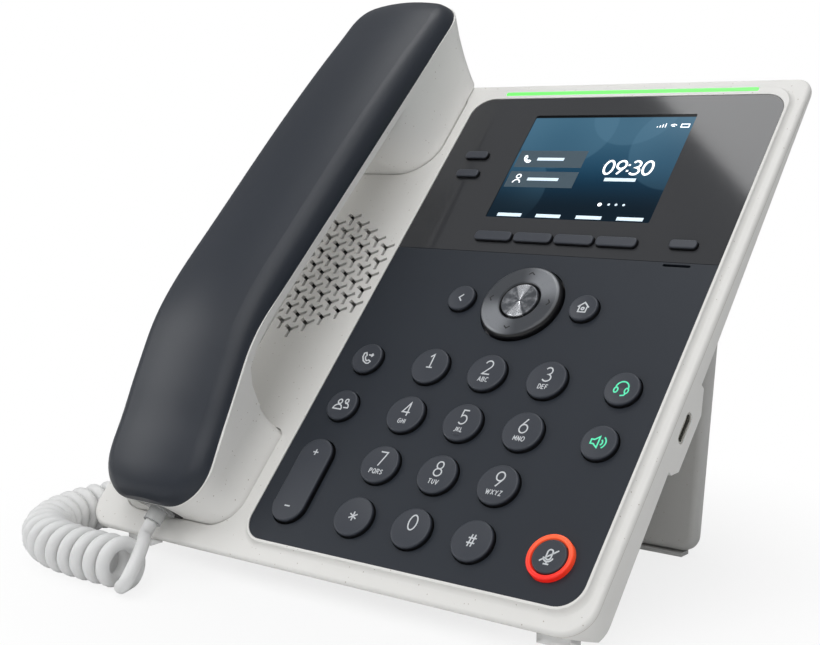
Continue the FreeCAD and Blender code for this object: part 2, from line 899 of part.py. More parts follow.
def usb_slot(name, margin, length, depth):
    """Make a solid of the USB socket's slot form, from the side wall inwards."""
    body = new_body(name)
    sketch = new_sketch(body, "YZ_Plane", f"body_width / 2 + {depth}")
    rounded_rectangle(
        sketch,
        f"usb_y - usb_length / 2 - ({margin})",
        f"usb_y + usb_length / 2 + ({margin})",
        f"-usb_drop - usb_height / 2 - ({margin})",
        f"-usb_drop + usb_height / 2 + ({margin})",
        f"0.48 * (usb_height + 2 * ({margin}))",
    )
    pad(body, sketch, length, reverse=True)
    return body


SIDES = (-1, 1)


def lug_places():
    """List the middles of the lugs that hold the stand's knuckles from both sides."""
    offset = "(knuckle_width / 2 + lug_gap + lug_width / 2)"
    return [f"{side} * hinge_x + {edge} * {offset}" for side in SIDES for edge in (-1, 1)]


def rear_housing():
    """White rear tray: wedge, hump, USB bulge, stand lugs, and its openings."""
    shell = wedge("rear_outside", "0", "0", "0")
    back = number(rear_z("body_height / 2"))
    fillet(
        shell,
        "rear_round",
        lambda edge: edge.BoundBox.ZMax < number("-rear_top") + 0.05
        and abs(edge.CenterOfMass.z - back) < number("rear_low - rear_top")
        and edge.CenterOfMass.y > number("chin") + 0.5,
    )
    outer_hump = hump("hump_outside", "0")
    fillet(
        outer_hump,
        "hump_round",
        lambda edge: edge.BoundBox.ZMax < number("-rear_low") + 0.05,
    )
    solids = [shell, outer_hump, usb_bump("bump_outside", "0")]
    for x in lug_places():
        solids.append(cross_bar("knuckle_diameter", "lug_width", x, "hinge_y", "-hinge_drop"))
        solids.append(
            block(
                "lug_width",
                "knuckle_diameter",
                f"hinge_drop + {rear_z('hinge_y')} + rear_floor / 2",
                x,
                "hinge_y - knuckle_diameter / 2",
                "-hinge_drop",
            )
        )
    hollows = [
        wedge("rear_inside", "wall", "rear_floor", "wall"),
        hump("hump_inside", "wall"),
        usb_bump("bump_inside", "wall"),
        usb_slot("usb_hole", "jack_gap", "wall * 2", "wall / 2"),
    ]
    for x, width, height in jack_ports():
        hollows.append(
            block(
                f"{width} + 2 * jack_gap",
                "wall * 2",
                f"{height} + 2 * jack_gap",
                x,
                "hump_bottom - wall / 2",
                f"-jack_drop - {height} / 2 - jack_gap",
            )
        )
    for x in SIDES:
        hollows.append(
            cross_bar(
                "pin_diameter + 2 * pin_play",
                "knuckle_width + 2 * lug_gap + 3 * lug_width",
                f"{x} * hinge_x",
                "hinge_y",
                "-hinge_drop",
            )
        )
    for side, y in BOSSES:
        x = f"{side} * boss_x"
        hollows.append(post("screw_diameter + 2 * screw_gap", "screw_length", x, y, rear_z(y)))
        seat_low = f"{rear_z(y)} - screw_head_height"
        hollows.append(post("screw_head + 2 * screw_gap", "screw_head_height + screw_seat", x, y, seat_low))
    for side in SIDES:
        hollows.append(
            desk_block(
                "foot_length + 2 * screw_gap",
                "foot_width + 4 * chin",
                "foot_height",
                f"{side} * foot_x",
                "foot_setback - setback",
                "0",
            )
        )
    keep(cut(joined(solids), hollows), "rear_housing")


def feet():
    """Rubber feet under the front edge and under the stand."""
    front = [
        desk_block(
            "foot_length", "foot_width", "foot_height", f"{side} * foot_x", "foot_setback - setback", "0"
        )
        for side in SIDES
    ]
    keep(group(front), "front_feet")
    pads = [
        desk_block("pad_length", "pad_width", "pad_height", f"{side} * pad_x", stand_foot_y(), "0")
        for side in SIDES
    ]
    keep(group(pads), "stand_feet")


def stand_foot_y():
    """Give the place across the desk where the stand's plate meets it."""
    height = "(hinge_y * sin(tilt) - hinge_drop * cos(tilt) + lift)"
    along = "(hinge_y * cos(tilt) + hinge_drop * sin(tilt) - setback)"
    return f"{along} - {height} / tan(stand_lean)"


def stand():
    """Easel stand: a plate with a window that clears the hump, on two knuckles, cut level at the desk."""
    body = doc.addObject("PartDesign::Body", "stand_plate")
    on_face(body, "0", "hinge_y", "-hinge_drop", "stand_lean")
    sketch = new_sketch(body)
    rounded_rectangle(
        sketch,
        "-stand_width / 2",
        "stand_width / 2",
        "-stand_length",
        "-stand_top",
        "stand_corner",
    )
    pad(body, sketch, "stand_thick", symmetric=True)
    fillet(body, "stand_edge", lambda edge: edge.BoundBox.ZLength < 1e-4)
    sketch = new_sketch(body, height="stand_thick / 2")
    rounded_rectangle(
        sketch,
        "-window_width / 2",
        "window_width / 2",
        "-window_bottom",
        "-window_top",
        "window_corner",
    )
    pocket(body, sketch)
    for side in SIDES:
        sketch = new_sketch(body, "YZ_Plane", f"{side} * hinge_x")
        outline(
            sketch,
            [
                ("-stand_top - stand_thick", "-stand_thick / 2"),
                ("0", "-stand_thick / 2"),
                ("0", "stand_thick / 2"),
                ("-stand_top - stand_thick", "stand_thick / 2"),
            ],
        )
        pad(body, sketch, "knuckle_width", symmetric=True)
        sketch = new_sketch(body, "YZ_Plane", f"{side} * hinge_x")
        circle(sketch, "knuckle_diameter")
        pad(body, sketch, "knuckle_width", symmetric=True)
    sketch = new_sketch(body, "YZ_Plane")
    circle(sketch, "pin_diameter + 2 * pin_play")
    pocket(body, sketch, symmetric=True)
    under = desk_block(
        "stand_width * 2",
        "stand_thick * 6",
        "pad_height * 4",
        "0",
        stand_foot_y(),
        "-3 * pad_height",
    )
    keep(cut(body, [under]), "stand")
    pins = [
        cross_bar(
            "pin_diameter",
            "knuckle_width + 2 * (lug_gap + lug_width)",
            f"{side} * hinge_x",
            "hinge_y",
            "-hinge_drop",
        )
        for side in SIDES
    ]
    keep(group(pins), "stand_hinge_pins")


def housing_screws():
    """Four screws that hold the housings together from behind."""
    screws = []
    for side, y in BOSSES:
        x = f"{side} * boss_x"
        seat = f"{rear_z(y)} + screw_seat"
        head = post("screw_head", "screw_head_height", x, y, f"{seat} - screw_head_height")
        shank = post("screw_diameter", "screw_length - screw_seat", x, y, seat)
        screws.append(joined([head, shank]))
    keep(group(screws), "housing_screws")


def key_expression(column, row):
    """Give the place of a dial key counted from the upper left."""
    x = f"panel_x + {column - 1} * key_pitch_x"
    y = f"key_centre_y + {1.5 - row} * key_pitch_y"
    return x, y


DIAL = [f"key_{digit}" for digit in range(1, 10)] + ["key_star", "key_0", "key_hash"]
ROUND_KEYS = [
    (name, "dial_diameter", *key_expression(index % 3, index // 3))
    for index, name in enumerate(DIAL)
]
for name, side, row in (
    ("key_transfer", -1, 0),
    ("key_conference", -1, 1),
    ("key_headset", 1, 0),
    ("key_speaker", 1, 1),
):
    ROUND_KEYS.append((name, "side_diameter", f"panel_x + {side} * side_x", key_expression(1, row)[1]))
for name, side in (("key_back", -1), ("key_home", 1)):
    ROUND_KEYS.append((name, "corner_diameter", f"panel_x + {side} * corner_x", "corner_y"))
MUTE = ("panel_x + side_x", key_expression(1, 3)[1])
ROCKER = ("panel_x - side_x", "rocker_y")
BAR_KEYS = [
    (
        f"soft_key_{index + 1}",
        "soft_width",
        "soft_height",
        f"panel_x + {index - 1.5} * soft_pitch",
        "soft_y",
    )
    for index in range(4)
]
for index in range(2):
    BAR_KEYS.append(
        (
            f"line_key_{index + 1}",
            "bar_width",
            "bar_height",
            "panel_x - side_x",
            f"line_y + {1 - index} * line_pitch",
        )
    )
BAR_KEYS.append(("key_more", "bar_width", "bar_height", "panel_x + more_x", "more_y"))


def round_key(name, diameter, x, y):
    """Round key: a dished cap turned about its axis, with a flange that stops under the panel."""
    body = doc.addObject("PartDesign::Body", name)
    on_face(body, x, y)
    sketch = new_sketch(body, "XZ_Plane")
    radius = f"({diameter}) / 2"
    flange_low = "-key_flange_top - key_flange_thick"
    dish_edge = f"({radius} - key_round)"
    outline(
        sketch,
        [
            ("0", flange_low),
            (f"{radius} + key_flange", flange_low),
            (f"{radius} + key_flange", "-key_flange_top"),
            (radius, "-key_flange_top"),
            (radius, "key_rise - key_round"),
            (dish_edge, "key_rise"),
            ("0", "key_rise - key_dish"),
        ],
        {4: "key_round", 5: f"-({dish_edge} * {dish_edge} + key_dish * key_dish) / (2 * key_dish)"},
    )
    turn = body.newObject("PartDesign::Revolution", "Revolution")
    turn.Profile = sketch
    turn.ReferenceAxis = (sketch, ["V_Axis"])
    turn.Angle = 360
    return keep(body, name)


def bar_key(name, width, height, x, y):
    """Short bar key with a flange that stops under the window."""
    body = doc.addObject("PartDesign::Body", name)
    on_face(body, x, y)
    sketch = new_sketch(body, height="-key_flange_top")
    centred_rectangle(sketch, width, height, f"{BAR_ROUND} * {height}")
    pad(body, sketch, "bar_rise + key_flange_top")
    fillet(body, "bar_round", level("bar_rise"))
    sketch = new_sketch(body, height="-key_flange_top")
    centred_rectangle(sketch, width, f"{height} + 2 * bar_flange", "bar_flange")
    pad(body, sketch, "key_flange_thick", reverse=True)
    return keep(body, name)


def volume_rocker():
    """Long rocking key."""
    body = doc.addObject("PartDesign::Body", "volume_rocker")
    on_face(body, *ROCKER)
    sketch = new_sketch(body, height="-rocker_flange_top")
    slot(sketch, "rocker_width", "rocker_length", "0", "0")
    pad(body, sketch, "key_rise + rocker_flange_top")
    fillet(body, "key_round", level("key_rise"))
    sketch = new_sketch(body, height="-rocker_flange_top")
    slot(sketch, "rocker_width + 2 * key_flange", "rocker_length + 2 * key_flange", "0", "0")
    pad(body, sketch, "rocker_flange_thick", reverse=True)
    keep(body, "volume_rocker")


def navigation():
    """Navigation ring that tilts four ways on a gimbal, round the select key."""
    body = doc.addObject("PartDesign::Body", "nav_ring")
    on_face(body, "panel_x", "nav_y")
    sketch = new_sketch(body, "XZ_Plane")
    outer = "nav_diameter / 2"
    inner = "select_diameter / 2 + key_gap"
    outline(
        sketch,
        [
            (inner, "-nav_skirt_top"),
            (f"{outer}", "-nav_skirt_top"),
            (f"{outer}", "nav_rise - nav_bevel"),
            (f"{outer} - nav_bevel", "nav_rise"),
            (f"{inner} + nav_bevel / 2", "nav_rise"),
            (inner, "nav_rise - nav_bevel / 2"),
        ],
        {2: "nav_bevel"},
    )
    turn = body.newObject("PartDesign::Revolution", "Revolution")
    turn.Profile = sketch
    turn.ReferenceAxis = (sketch, ["V_Axis"])
    turn.Angle = 360
    keep(body, "nav_ring")
    gimbal_low = "-gimbal_drop"
    ring = post("gimbal_diameter", "gimbal_thick", "panel_x", "nav_y", gimbal_low)
    keep(cut(ring, [post("gimbal_bore", "gimbal_thick", "panel_x", "nav_y", gimbal_low)]), "nav_gimbal")


def select_key():
    """Select key in the middle of the navigation ring: a plain dished post."""
    body = doc.addObject("PartDesign::Body", "key_select")
    on_face(body, "panel_x", "nav_y")
    sketch = new_sketch(body, "XZ_Plane")
    radius = "select_diameter / 2"
    dish_edge = f"({radius} - key_round)"
    outline(
        sketch,
        [
            ("0", "-nav_skirt_top"),
            (radius, "-nav_skirt_top"),
            (radius, "select_rise - key_round"),
            (dish_edge, "select_rise"),
            ("0", "select_rise - key_dish"),
        ],
        {2: "key_round", 3: f"-({dish_edge} * {dish_edge} + key_dish * key_dish) / (2 * key_dish)"},
    )
    turn = body.newObject("PartDesign::Revolution", "Revolution")
    turn.Profile = sketch
    turn.ReferenceAxis = (sketch, ["V_Axis"])
    turn.Angle = 360
    keep(body, "key_select")


def keys():
    """All keys of the front, with the lit ring of the mute key."""
    for name, diameter, x, y in ROUND_KEYS:
        round_key(name, diameter, x, y)
    body = doc.addObject("PartDesign::Body", "key_mute")
    on_face(body, *MUTE)
    sketch = new_sketch(body, height="-key_flange_top - key_flange_thick")
    circle(sketch, "mute_diameter")
    pad(body, sketch, "key_flange_top + key_flange_thick + key_rise")
    fillet(body, "key_round", level("key_rise"))
    keep(body, "key_mute")
    body = doc.addObject("PartDesign::Body", "mute_ring")
    on_face(body, *MUTE)
    sketch = new_sketch(body, height="-panel_thick")
    circle(sketch, "mute_ring_diameter")
    circle(sketch, "mute_diameter + 2 * mute_gap")
    pad(body, sketch, "panel_thick + mute_ring_rise")
    fillet(body, "key_round", level("mute_ring_rise"))
    keep(body, "mute_ring")
    for spec in BAR_KEYS:
        bar_key(*spec)
    volume_rocker()
    navigation()
    select_key()


def keypad_panel():
    """Matt lower panel with a hole for each key and the microphone's slot."""
    body = new_body("keypad_panel")
    sketch = new_sketch(body, height="-panel_thick")
    rounded_rectangle(
        sketch,
        "panel_x - panel_width / 2",
        "panel_x + panel_width / 2",
        "panel_bottom",
        "panel_split - panel_gap / 2",
        "panel_corner",
        "butt_corner",
    )
    pad(body, sketch, "panel_thick")
    sketch = new_sketch(body)
    for _, diameter, x, y in ROUND_KEYS:
        circle(sketch, f"{diameter} + 2 * key_gap", x, y)
    circle(sketch, "mute_ring_diameter + 2 * panel_gap", *MUTE)
    circle(sketch, "nav_diameter + 2 * nav_gap", "panel_x", "nav_y")
    slot(sketch, "rocker_width + 2 * rocker_gap", "rocker_length + 2 * rocker_gap", *ROCKER)
    rounded_rectangle(
        sketch,
        "mic_x - mic_length / 2",
        "mic_x + mic_length / 2",
        "panel_split - mic_drop - mic_height",
        "panel_split - mic_drop",
        "butt_corner",
    )
    pocket(body, sketch)
    keep(body, "keypad_panel")


def display_window():
    """Gloss upper panel with the screen's opening and the bar keys' slots."""
    body = new_body("display_window")
    sketch = new_sketch(body, height="-panel_thick")
    rounded_rectangle(
        sketch,
        "panel_x - panel_width / 2",
        "panel_x + panel_width / 2",
        "panel_split + panel_gap / 2",
        "panel_top",
        "butt_corner",
        "panel_corner",
    )
    pad(body, sketch, "panel_thick")
    sketch = new_sketch(body)
    centred_rectangle(
        sketch,
        "screen_width + 2 * screen_gap",
        "screen_height + 2 * screen_gap",
        "screen_corner",
        "panel_x",
        "screen_y",
    )
    for _, width, height, x, y in BAR_KEYS:
        centred_rectangle(
            sketch,
            f"{width} + 2 * bar_gap",
            f"{height} + 2 * bar_gap",
            f"{BAR_ROUND} * {height} + bar_gap",
            x,
            y,
        )
    pocket(body, sketch)
    keep(body, "display_window")


def screen():
    """Screen module: its glass fills the window's opening, its frame lies behind."""
    body = new_body("lcd_module")
    sketch = new_sketch(body, height="-screen_frame_top")
    centred_rectangle(sketch, "screen_width", "screen_height", "screen_corner", "panel_x", "screen_y")
    pad(body, sketch, "screen_frame_top - screen_sink")
    sketch = new_sketch(body, height="-screen_frame_top")
    centred_rectangle(
        sketch,
        "screen_width + 2 * screen_frame",
        "screen_height + 2 * screen_frame",
        "screen_corner",
        "panel_x",
        "screen_y",
    )
    pad(body, sketch, "screen_frame_bottom - screen_frame_top", reverse=True)
    keep(body, "lcd_module")


def light_bar():
    """Light bar flush in the top band of the front housing."""
    body = new_body("light_bar")
    sketch = new_sketch(body, height="-panel_thick")
    centred_rectangle(sketch, "light_length", "light_height", "butt_corner", "panel_x", "light_y")
    pad(body, sketch, "panel_thick + lip_rise")
    keep(body, "light_bar")


def boards():
    """Rubber membrane under the keys, main board, and loudspeaker under the grille."""
    body = new_body("keypad_membrane")
    sketch = new_sketch(body, height="-membrane_top")
    rounded_rectangle(
        sketch,
        "panel_x - panel_width / 2 + membrane_inset",
        "panel_x + panel_width / 2 - membrane_inset",
        "panel_bottom + membrane_inset",
        "membrane_height",
        "butt_corner",
    )
    pad(body, sketch, "membrane_thick", reverse=True)
    keep(body, "keypad_membrane")
    body = new_body("main_board")
    sketch = new_sketch(body, height="-board_top")
    rounded_rectangle(
        sketch,
        "panel_x - panel_width / 2 + board_inset",
        "panel_x + panel_width / 2 - board_inset",
        "panel_bottom + board_inset",
        "board_height",
        "butt_corner",
    )
    pad(body, sketch, "board_thick", reverse=True)
    keep(body, "main_board")
    basket = post(
        "speaker_diameter", "speaker_thick", "grille_x", "grille_y", "-speaker_top - speaker_thick"
    )
    magnet = post(
        "speaker_magnet",
        "speaker_magnet_thick",
        "grille_x",
        "grille_y",
        "-speaker_top - speaker_thick - speaker_magnet_thick",
    )
    keep(joined([basket, magnet]), "loudspeaker")


def socket(width, height, length, port_width, port_height, port_depth, x):
    """One socket of the hump's lower wall, open downwards along the slope."""
    low = "hump_bottom - jack_reach"
    case = block(width, length, height, x, low, f"-jack_drop - {height} / 2")
    port = block(port_width, port_depth, port_height, x, low, f"-jack_drop - {port_height} / 2")
    return cut(case, [port])


def sockets():
    """Network sockets, handset and headset sockets, and the USB socket."""
    lan = [
        socket(
            "lan_width",
            "lan_height",
            "lan_length",
            "lan_port_width",
            "lan_port_height",
            "lan_port_depth",
            f"lan_x + {index} * lan_pitch",
        )
        for index in (0, 1)
    ]
    keep(group(lan), "network_jacks")
    cords = [
        socket(
            "cord_jack_width",
            "cord_jack_height",
            "cord_jack_length",
            "cord_port_width",
            "cord_port_height",
            "cord_port_depth",
            x,
        )
        for x in ("cord_jack_x", "headset_jack_x")
    ]
    keep(group(cords), "audio_jacks")
    shell = usb_slot("usb_shell", "0", "usb_depth", "-usb_shell / 2")
    hollow = usb_slot("usb_hollow", "-usb_shell", "usb_depth - 2 * usb_shell", "-usb_shell / 2")
    tongue = block(
        "usb_depth - 2 * usb_shell",
        "usb_length - 4 * usb_shell",
        "usb_tongue",
        "body_width / 2 - usb_shell - usb_depth / 2",
        "usb_y - usb_length / 2 + 2 * usb_shell",
        "-usb_drop - usb_tongue / 2",
    )
    keep(joined([cut(shell, [hollow]), tongue]), "usb_c_socket")


EAR_SLOPE = "atan((knee_z - ear_end_z) / (ear_end - knee_y))"
MOUTH_SLOPE = "atan((knee_z - mouth_end_z) / (knee_y - mouth_end))"
KNEE_RADIUS = f"(knee_blend / tan(({EAR_SLOPE} + {MOUTH_SLOPE}) / 2))"
CUP_FLOOR = "(cup_clearance - flange_drop - cup_recess)"
CUP_RIM = "(cup_lift - flange_drop)"


def handset_body(name):
    """Start a body in the handset's own frame, on its middle line."""
    return on_face(doc.addObject("PartDesign::Body", name), "handset_x")


def loft(body, kind, sections, ruled=False):
    """Join a row of sketches into one smooth or ruled solid, or cut it away."""
    feature = body.newObject(f"PartDesign::{kind}Loft", "Loft")
    feature.Profile = sections[0]
    feature.Sections = sections[1:]
    feature.Ruled = ruled
    doc.recompute()
    return feature


def parting_cut(body, above):
    """Cut a body of the handset along its parting line, and take away what lies above or below it."""
    beyond = "crown_rise"
    end = "2 * knee_z" if above else "-knee_z"
    sketch = new_sketch(body, "YZ_Plane")
    outline(
        sketch,
        [
            ("ear_end", "ear_end_z"),
            (f"knee_y + knee_blend * cos({EAR_SLOPE})", f"knee_z - knee_blend * sin({EAR_SLOPE})"),
            (f"knee_y - knee_blend * cos({MOUTH_SLOPE})", f"knee_z - knee_blend * sin({MOUTH_SLOPE})"),
            ("mouth_end", "mouth_end_z"),
            (f"mouth_end - {beyond}", "mouth_end_z"),
            (f"mouth_end - {beyond}", end),
            (f"ear_end + {beyond}", end),
            (f"ear_end + {beyond}", "ear_end_z"),
        ],
        {1: KNEE_RADIUS},
    )
    pocket(body, sketch, symmetric=True)


def handset_outer_shell():
    """Dark outer shell of the handset: a domed crown, bent at the knee, hollow from below."""
    body = handset_body("handset_outer_shell")
    sections = []
    for y, inset, crest in CROWN:
        half = f"(handset_width / 2 - {inset})"
        roll = f"(crown_round * {half} / (handset_width / 2))"
        base = f"{crest} - crown_base"
        inner = f"({half} - {roll} * (1 - sin(crown_turn)))"
        shoulder = f"({crest} - {inner} * tan(crown_turn / 2))"
        side = f"{shoulder} - {roll} * cos(crown_turn)"
        dome = f"{inner} / sin(crown_turn)"
        sketch = new_sketch(body, "XZ_Plane", f"-({y})")
        outline(
            sketch,
            [
                (half, base),
                (half, side),
                (inner, shoulder),
                (f"-{inner}", shoulder),
                (f"-{half}", side),
                (f"-{half}", base),
            ],
            {1: roll, 2: dome, 3: roll},
        )
        sections.append(sketch)
    loft(body, "Additive", sections)
    parting_cut(body, above=False)
    low = "-knee_z"
    sketch = new_sketch(body, "YZ_Plane")
    outline(
        sketch,
        [
            ("ear_end - hollow_end", low),
            ("ear_end - hollow_end", "ear_end_z + hollow_ear_rise"),
            ("knee_y", "knee_z + hollow_knee_rise"),
            ("mouth_end + hollow_end", "mouth_end_z + hollow_mouth_rise"),
            ("mouth_end + hollow_end", low),
        ],
    )
    pocket(body, sketch, "hollow_width", symmetric=True)
    keep(body, "handset_outer_shell")


def cup_loft(body, sections):
    """Add one cup of the handset's inner shell: a smooth flare through plans at three heights."""
    sketches = []
    for height, width, bottom, top, low_radius, high_radius in sections:
        sketch = new_sketch(body, height=height)
        rounded_rectangle(sketch, f"-{width} / 2", f"{width} / 2", bottom, top, low_radius, high_radius)
        sketches.append(sketch)
    loft(body, "Additive", sketches)


def grip_cut(body, side):
    """Bevel one side of the handle's underside from cup to cup."""
    sketches = []
    for y, height in GRIP:
        sketch = new_sketch(body, "XZ_Plane", f"-({y})")
        beyond = f"{side} * handset_width"
        below = "grip_z - shell_wall"
        outline(
            sketch,
            [
                (beyond, height),
                (f"{side} * handset_width / 2", height),
                (f"{side} * grip_width / 2", "grip_z"),
                (f"{side} * grip_width / 2", below),
                (beyond, below),
            ],
        )
        sketches.append(sketch)
    loft(body, "Subtractive", sketches, ruled=True)


def handset_inner_shell():
    """White inner shell: the handle's underside with the ear cup and the mouth cup."""
    body = handset_body("handset_inner_moulding")
    sketch = new_sketch(body, height="mouth_end_z")
    rounded_rectangle(
        sketch,
        "-handset_width / 2",
        "handset_width / 2",
        "mouth_end",
        "ear_end",
        "mouth_corner",
        "ear_corner",
    )
    pad(body, sketch, "knee_z + crown_rise - mouth_end_z")
    ceiling = "knee_z + 2 * crown_rise"
    sketch = new_sketch(body, "YZ_Plane")
    outline(
        sketch,
        [
            ("mouth_neck", "mouth_end_z"),
            ("grip_low", "grip_z"),
            ("receiver_y", "grip_z"),
            ("receiver_y", "ear_end_z"),
            ("ear_end + crown_rise", "ear_end_z"),
            ("ear_end + crown_rise", "0"),
            ("mouth_neck", "0"),
        ],
    )
    pocket(body, sketch, symmetric=True)
    for side in SIDES:
        grip_cut(body, side)
    cup_loft(
        body,
        [
            (
                CUP_RIM,
                "ear_foot_width",
                "ear_cup_bottom",
                "ear_cup_top + ear_brow",
                "ear_cup_corner",
                "ear_heel",
            ),
            (
                "ear_waist_z",
                "ear_waist_width",
                "ear_cup_bottom - ear_waist_lean",
                "ear_cup_top + ear_waist_reach",
                "(ear_cup_corner + ear_neck_corner) / 2",
                "ear_waist_corner",
            ),
            ("ear_end_z", "handset_width", "ear_neck", "ear_end", "ear_neck_corner", "ear_corner"),
        ],
    )
    sketch = new_sketch(body, height=CUP_FLOOR)
    rounded_rectangle(
        sketch,
        "-ear_foot_width / 2",
        "ear_foot_width / 2",
        "ear_cup_bottom",
        "ear_cup_top",
        "ear_cup_corner",
        "ear_heel",
    )
    pad(body, sketch, f"{CUP_RIM} - {CUP_FLOOR}")
    sketch = new_sketch(body, height="ear_end_z")
    rounded_rectangle(
        sketch,
        "-handset_width / 2",
        "handset_width / 2",
        "ear_neck",
        "ear_end",
        "ear_neck_corner",
        "ear_corner",
    )
    pad(body, sketch, "knee_z - ear_end_z")
    cup_loft(
        body,
        [
            (
                CUP_FLOOR,
                "mouth_foot_width",
                "mouth_cup_bottom",
                "mouth_cup_top",
                "mouth_cup_corner",
                "mouth_heel",
            ),
            (
                "mouth_end_z / 2",
                "handset_width",
                "(mouth_cup_bottom + mouth_end) / 2",
                "(mouth_cup_top + mouth_neck) / 2",
                "(mouth_cup_corner + mouth_corner) / 2",
                "(mouth_heel + mouth_neck_corner) / 2",
            ),
            ("mouth_end_z", "handset_width", "mouth_end", "mouth_neck", "mouth_corner", "mouth_neck_corner"),
        ],
    )
    parting_cut(body, above=True)
    floor = f"({CUP_FLOOR} + cup_wall)"
    sketch = new_sketch(body, height=ceiling)
    rounded_rectangle(
        sketch, "-channel_width / 2", "channel_width / 2", "channel_bottom", "channel_top", "cup_wall"
    )
    pocket(body, sketch, f"{ceiling} - grip_z - shell_wall")
    sketch = new_sketch(body, height=ceiling)
    circle(sketch, "receiver_diameter + 2 * receiver_gap", "0", "receiver_y")
    pocket(body, sketch, f"{ceiling} - {floor}")
    sketch = new_sketch(body, height=ceiling)
    rounded_rectangle(
        sketch,
        "-mouth_well_width / 2",
        "mouth_well_width / 2",
        "mouth_well_bottom",
        "mouth_well_top",
        "cup_wall",
    )
    pocket(body, sketch, f"{ceiling} - {floor}")
    hole = block(
        "cord_jack_width + 2 * jack_gap",
        "handset_jack_length + handset_jack_y + jack_gap",
        "cord_jack_height + 2 * jack_gap",
        "handset_x",
        "0",
        "handset_jack_z - cord_jack_height / 2 - jack_gap",
    )
    keep(cut(body, [hole]), "handset_inner_shell")
    return floor


def handset_contents(floor):
    """Receiver, microphone, ballast bar, cord socket and hook magnet inside the handset."""
    receiver = post("receiver_diameter", "receiver_thick", "handset_x", "receiver_y", floor)
    keep(receiver, "handset_receiver")
    capsule = post("capsule_diameter", "capsule_thick", "handset_x", "capsule_y", floor)
    keep(capsule, "handset_microphone")
    magnet = post("magnet_diameter", "magnet_thick", "handset_x + magnet_x", "capsule_y", floor)
    keep(magnet, "hook_magnet")
    ballast = block(
        "ballast_width",
        "ballast_top - ballast_bottom",
        "ballast_thick",
        "handset_x",
        "ballast_bottom",
        "grip_z + shell_wall",
    )
    keep(ballast, "handset_ballast")
    case = block(
        "cord_jack_width",
        "handset_jack_length",
        "cord_jack_height",
        "handset_x",
        "handset_jack_y",
        "handset_jack_z - cord_jack_height / 2",
    )
    port = block(
        "cord_port_width",
        "cord_port_depth",
        "cord_port_height",
        "handset_x",
        "handset_jack_y",
        "handset_jack_z - cord_port_height / 2",
    )
    keep(cut(case, [port]), "handset_jack")


def plug(label, x, mouth, z):
    """Modular plug with its strain relief, pushed into a socket whose mouth faces down the slope."""
    case = block(
        "plug_width",
        "plug_length",
        "plug_height",
        x,
        f"{mouth} + plug_inset - plug_length",
        f"{z} - plug_height / 2",
    )
    boot = doc.addObject("Part::Cylinder", "Boot")
    bind(boot, "Radius", "boot_diameter / 2")
    bind(boot, "Height", "boot_length")
    on_face(boot, x, f"{mouth} + plug_inset - plug_length", z, "tilt + 90")
    keep(joined([case, boot]), label)


def face_point(x, y, z):
    """Give the place in the room of a point of the face frame."""
    return FreeCAD.Vector(
        number(x),
        number(f"({y}) * cos(tilt) - ({z}) * sin(tilt) - setback"),
        number(f"({y}) * sin(tilt) + ({z}) * cos(tilt) + lift"),
    )


def tube(label, points, diameter):
    """Lay a round cord along points: straight runs joined by tangent arcs."""
    edges = []
    start = points[0]
    bends = []
    for before, corner, after in zip(points, points[1:], points[2:]):
        incoming = (corner - before).normalize()
        outgoing = (after - corner).normalize()
        reach = ARC_SHARE * min(before.distanceToPoint(corner), corner.distanceToPoint(after))
        half_turn = incoming.getAngle(outgoing) / 2
        bend = reach / math.tan(half_turn)
        inward = (outgoing - incoming).normalize()
        arc_start = corner - incoming * reach
        arc_end = corner + outgoing * reach
        arc_middle = corner + inward * (bend / math.cos(half_turn) - bend)
        edges.append(Part.LineSegment(start, arc_start).toShape())
        edges.append(Part.Arc(arc_start, arc_middle, arc_end).toShape())
        bends.append(round(bend / diameter, 2))
        start = arc_end
    edges.append(Part.LineSegment(start, points[-1]).toShape())
    path = Part.Wire(edges)
    section = Part.Wire(Part.Circle(points[0], points[1] - points[0], diameter / 2).toShape())
    solid = doc.addObject("Part::Feature", label)
    solid.Shape = path.makePipeShell([section], True, False)
    expected = math.pi * diameter * diameter / 4 * path.Length
    print(label, "length", round(path.Length, 1), "bends in diameters", bends)
    if abs(solid.Shape.Volume / expected - 1) > 0.01:
        raise RuntimeError(f"{label} does not fill its section along its length")
    keep(solid, label)


def cord():
    """Curly cord on the desk, with a straight tail and a plug at each end."""
    plug("cord_plug_handset", "handset_x", "handset_jack_y", "handset_jack_z")
    plug("cord_plug_base", "cord_jack_x", "hump_bottom - jack_reach", "-jack_drop")
    strand = number("cord_diameter")
    reach = "plug_inset - plug_length - boot_length"
    run = "tail_run"
    handset_exit = face_point("handset_x", f"handset_jack_y + {reach}", "handset_jack_z")
    handset_turn = face_point("handset_x", f"handset_jack_y + {reach} - {run}", "handset_jack_z")
    desk = FreeCAD.Vector(0, -number("setback"), 0)
    tail = [handset_exit, handset_turn]
    tail += [desk + FreeCAD.Vector(*point) for point in HANDSET_TAIL]
    tube("cord_tail_handset", tail, strand)
    coil = [desk + FreeCAD.Vector(*point) for point in COIL_ROUTE]
    tube("cord_coil", coil, number("coil_diameter"))
    jack = "hump_bottom - jack_reach"
    tail = [coil[-1]]
    tail += [desk + FreeCAD.Vector(*point) for point in BASE_TAIL]
    tail.append(face_point("cord_jack_x", f"{jack} + {reach} - climb_run", "-jack_drop"))
    tail.append(face_point("cord_jack_x", f"{jack} + {reach}", "-jack_drop"))
    tube("cord_tail_base", tail, strand)


front_housing()
rear_housing()
feet()
stand()
housing_screws()
keys()
keypad_panel()
display_window()
screen()
light_bar()
boards()
sockets()
handset_outer_shell()
handset_contents(handset_inner_shell())
cord()

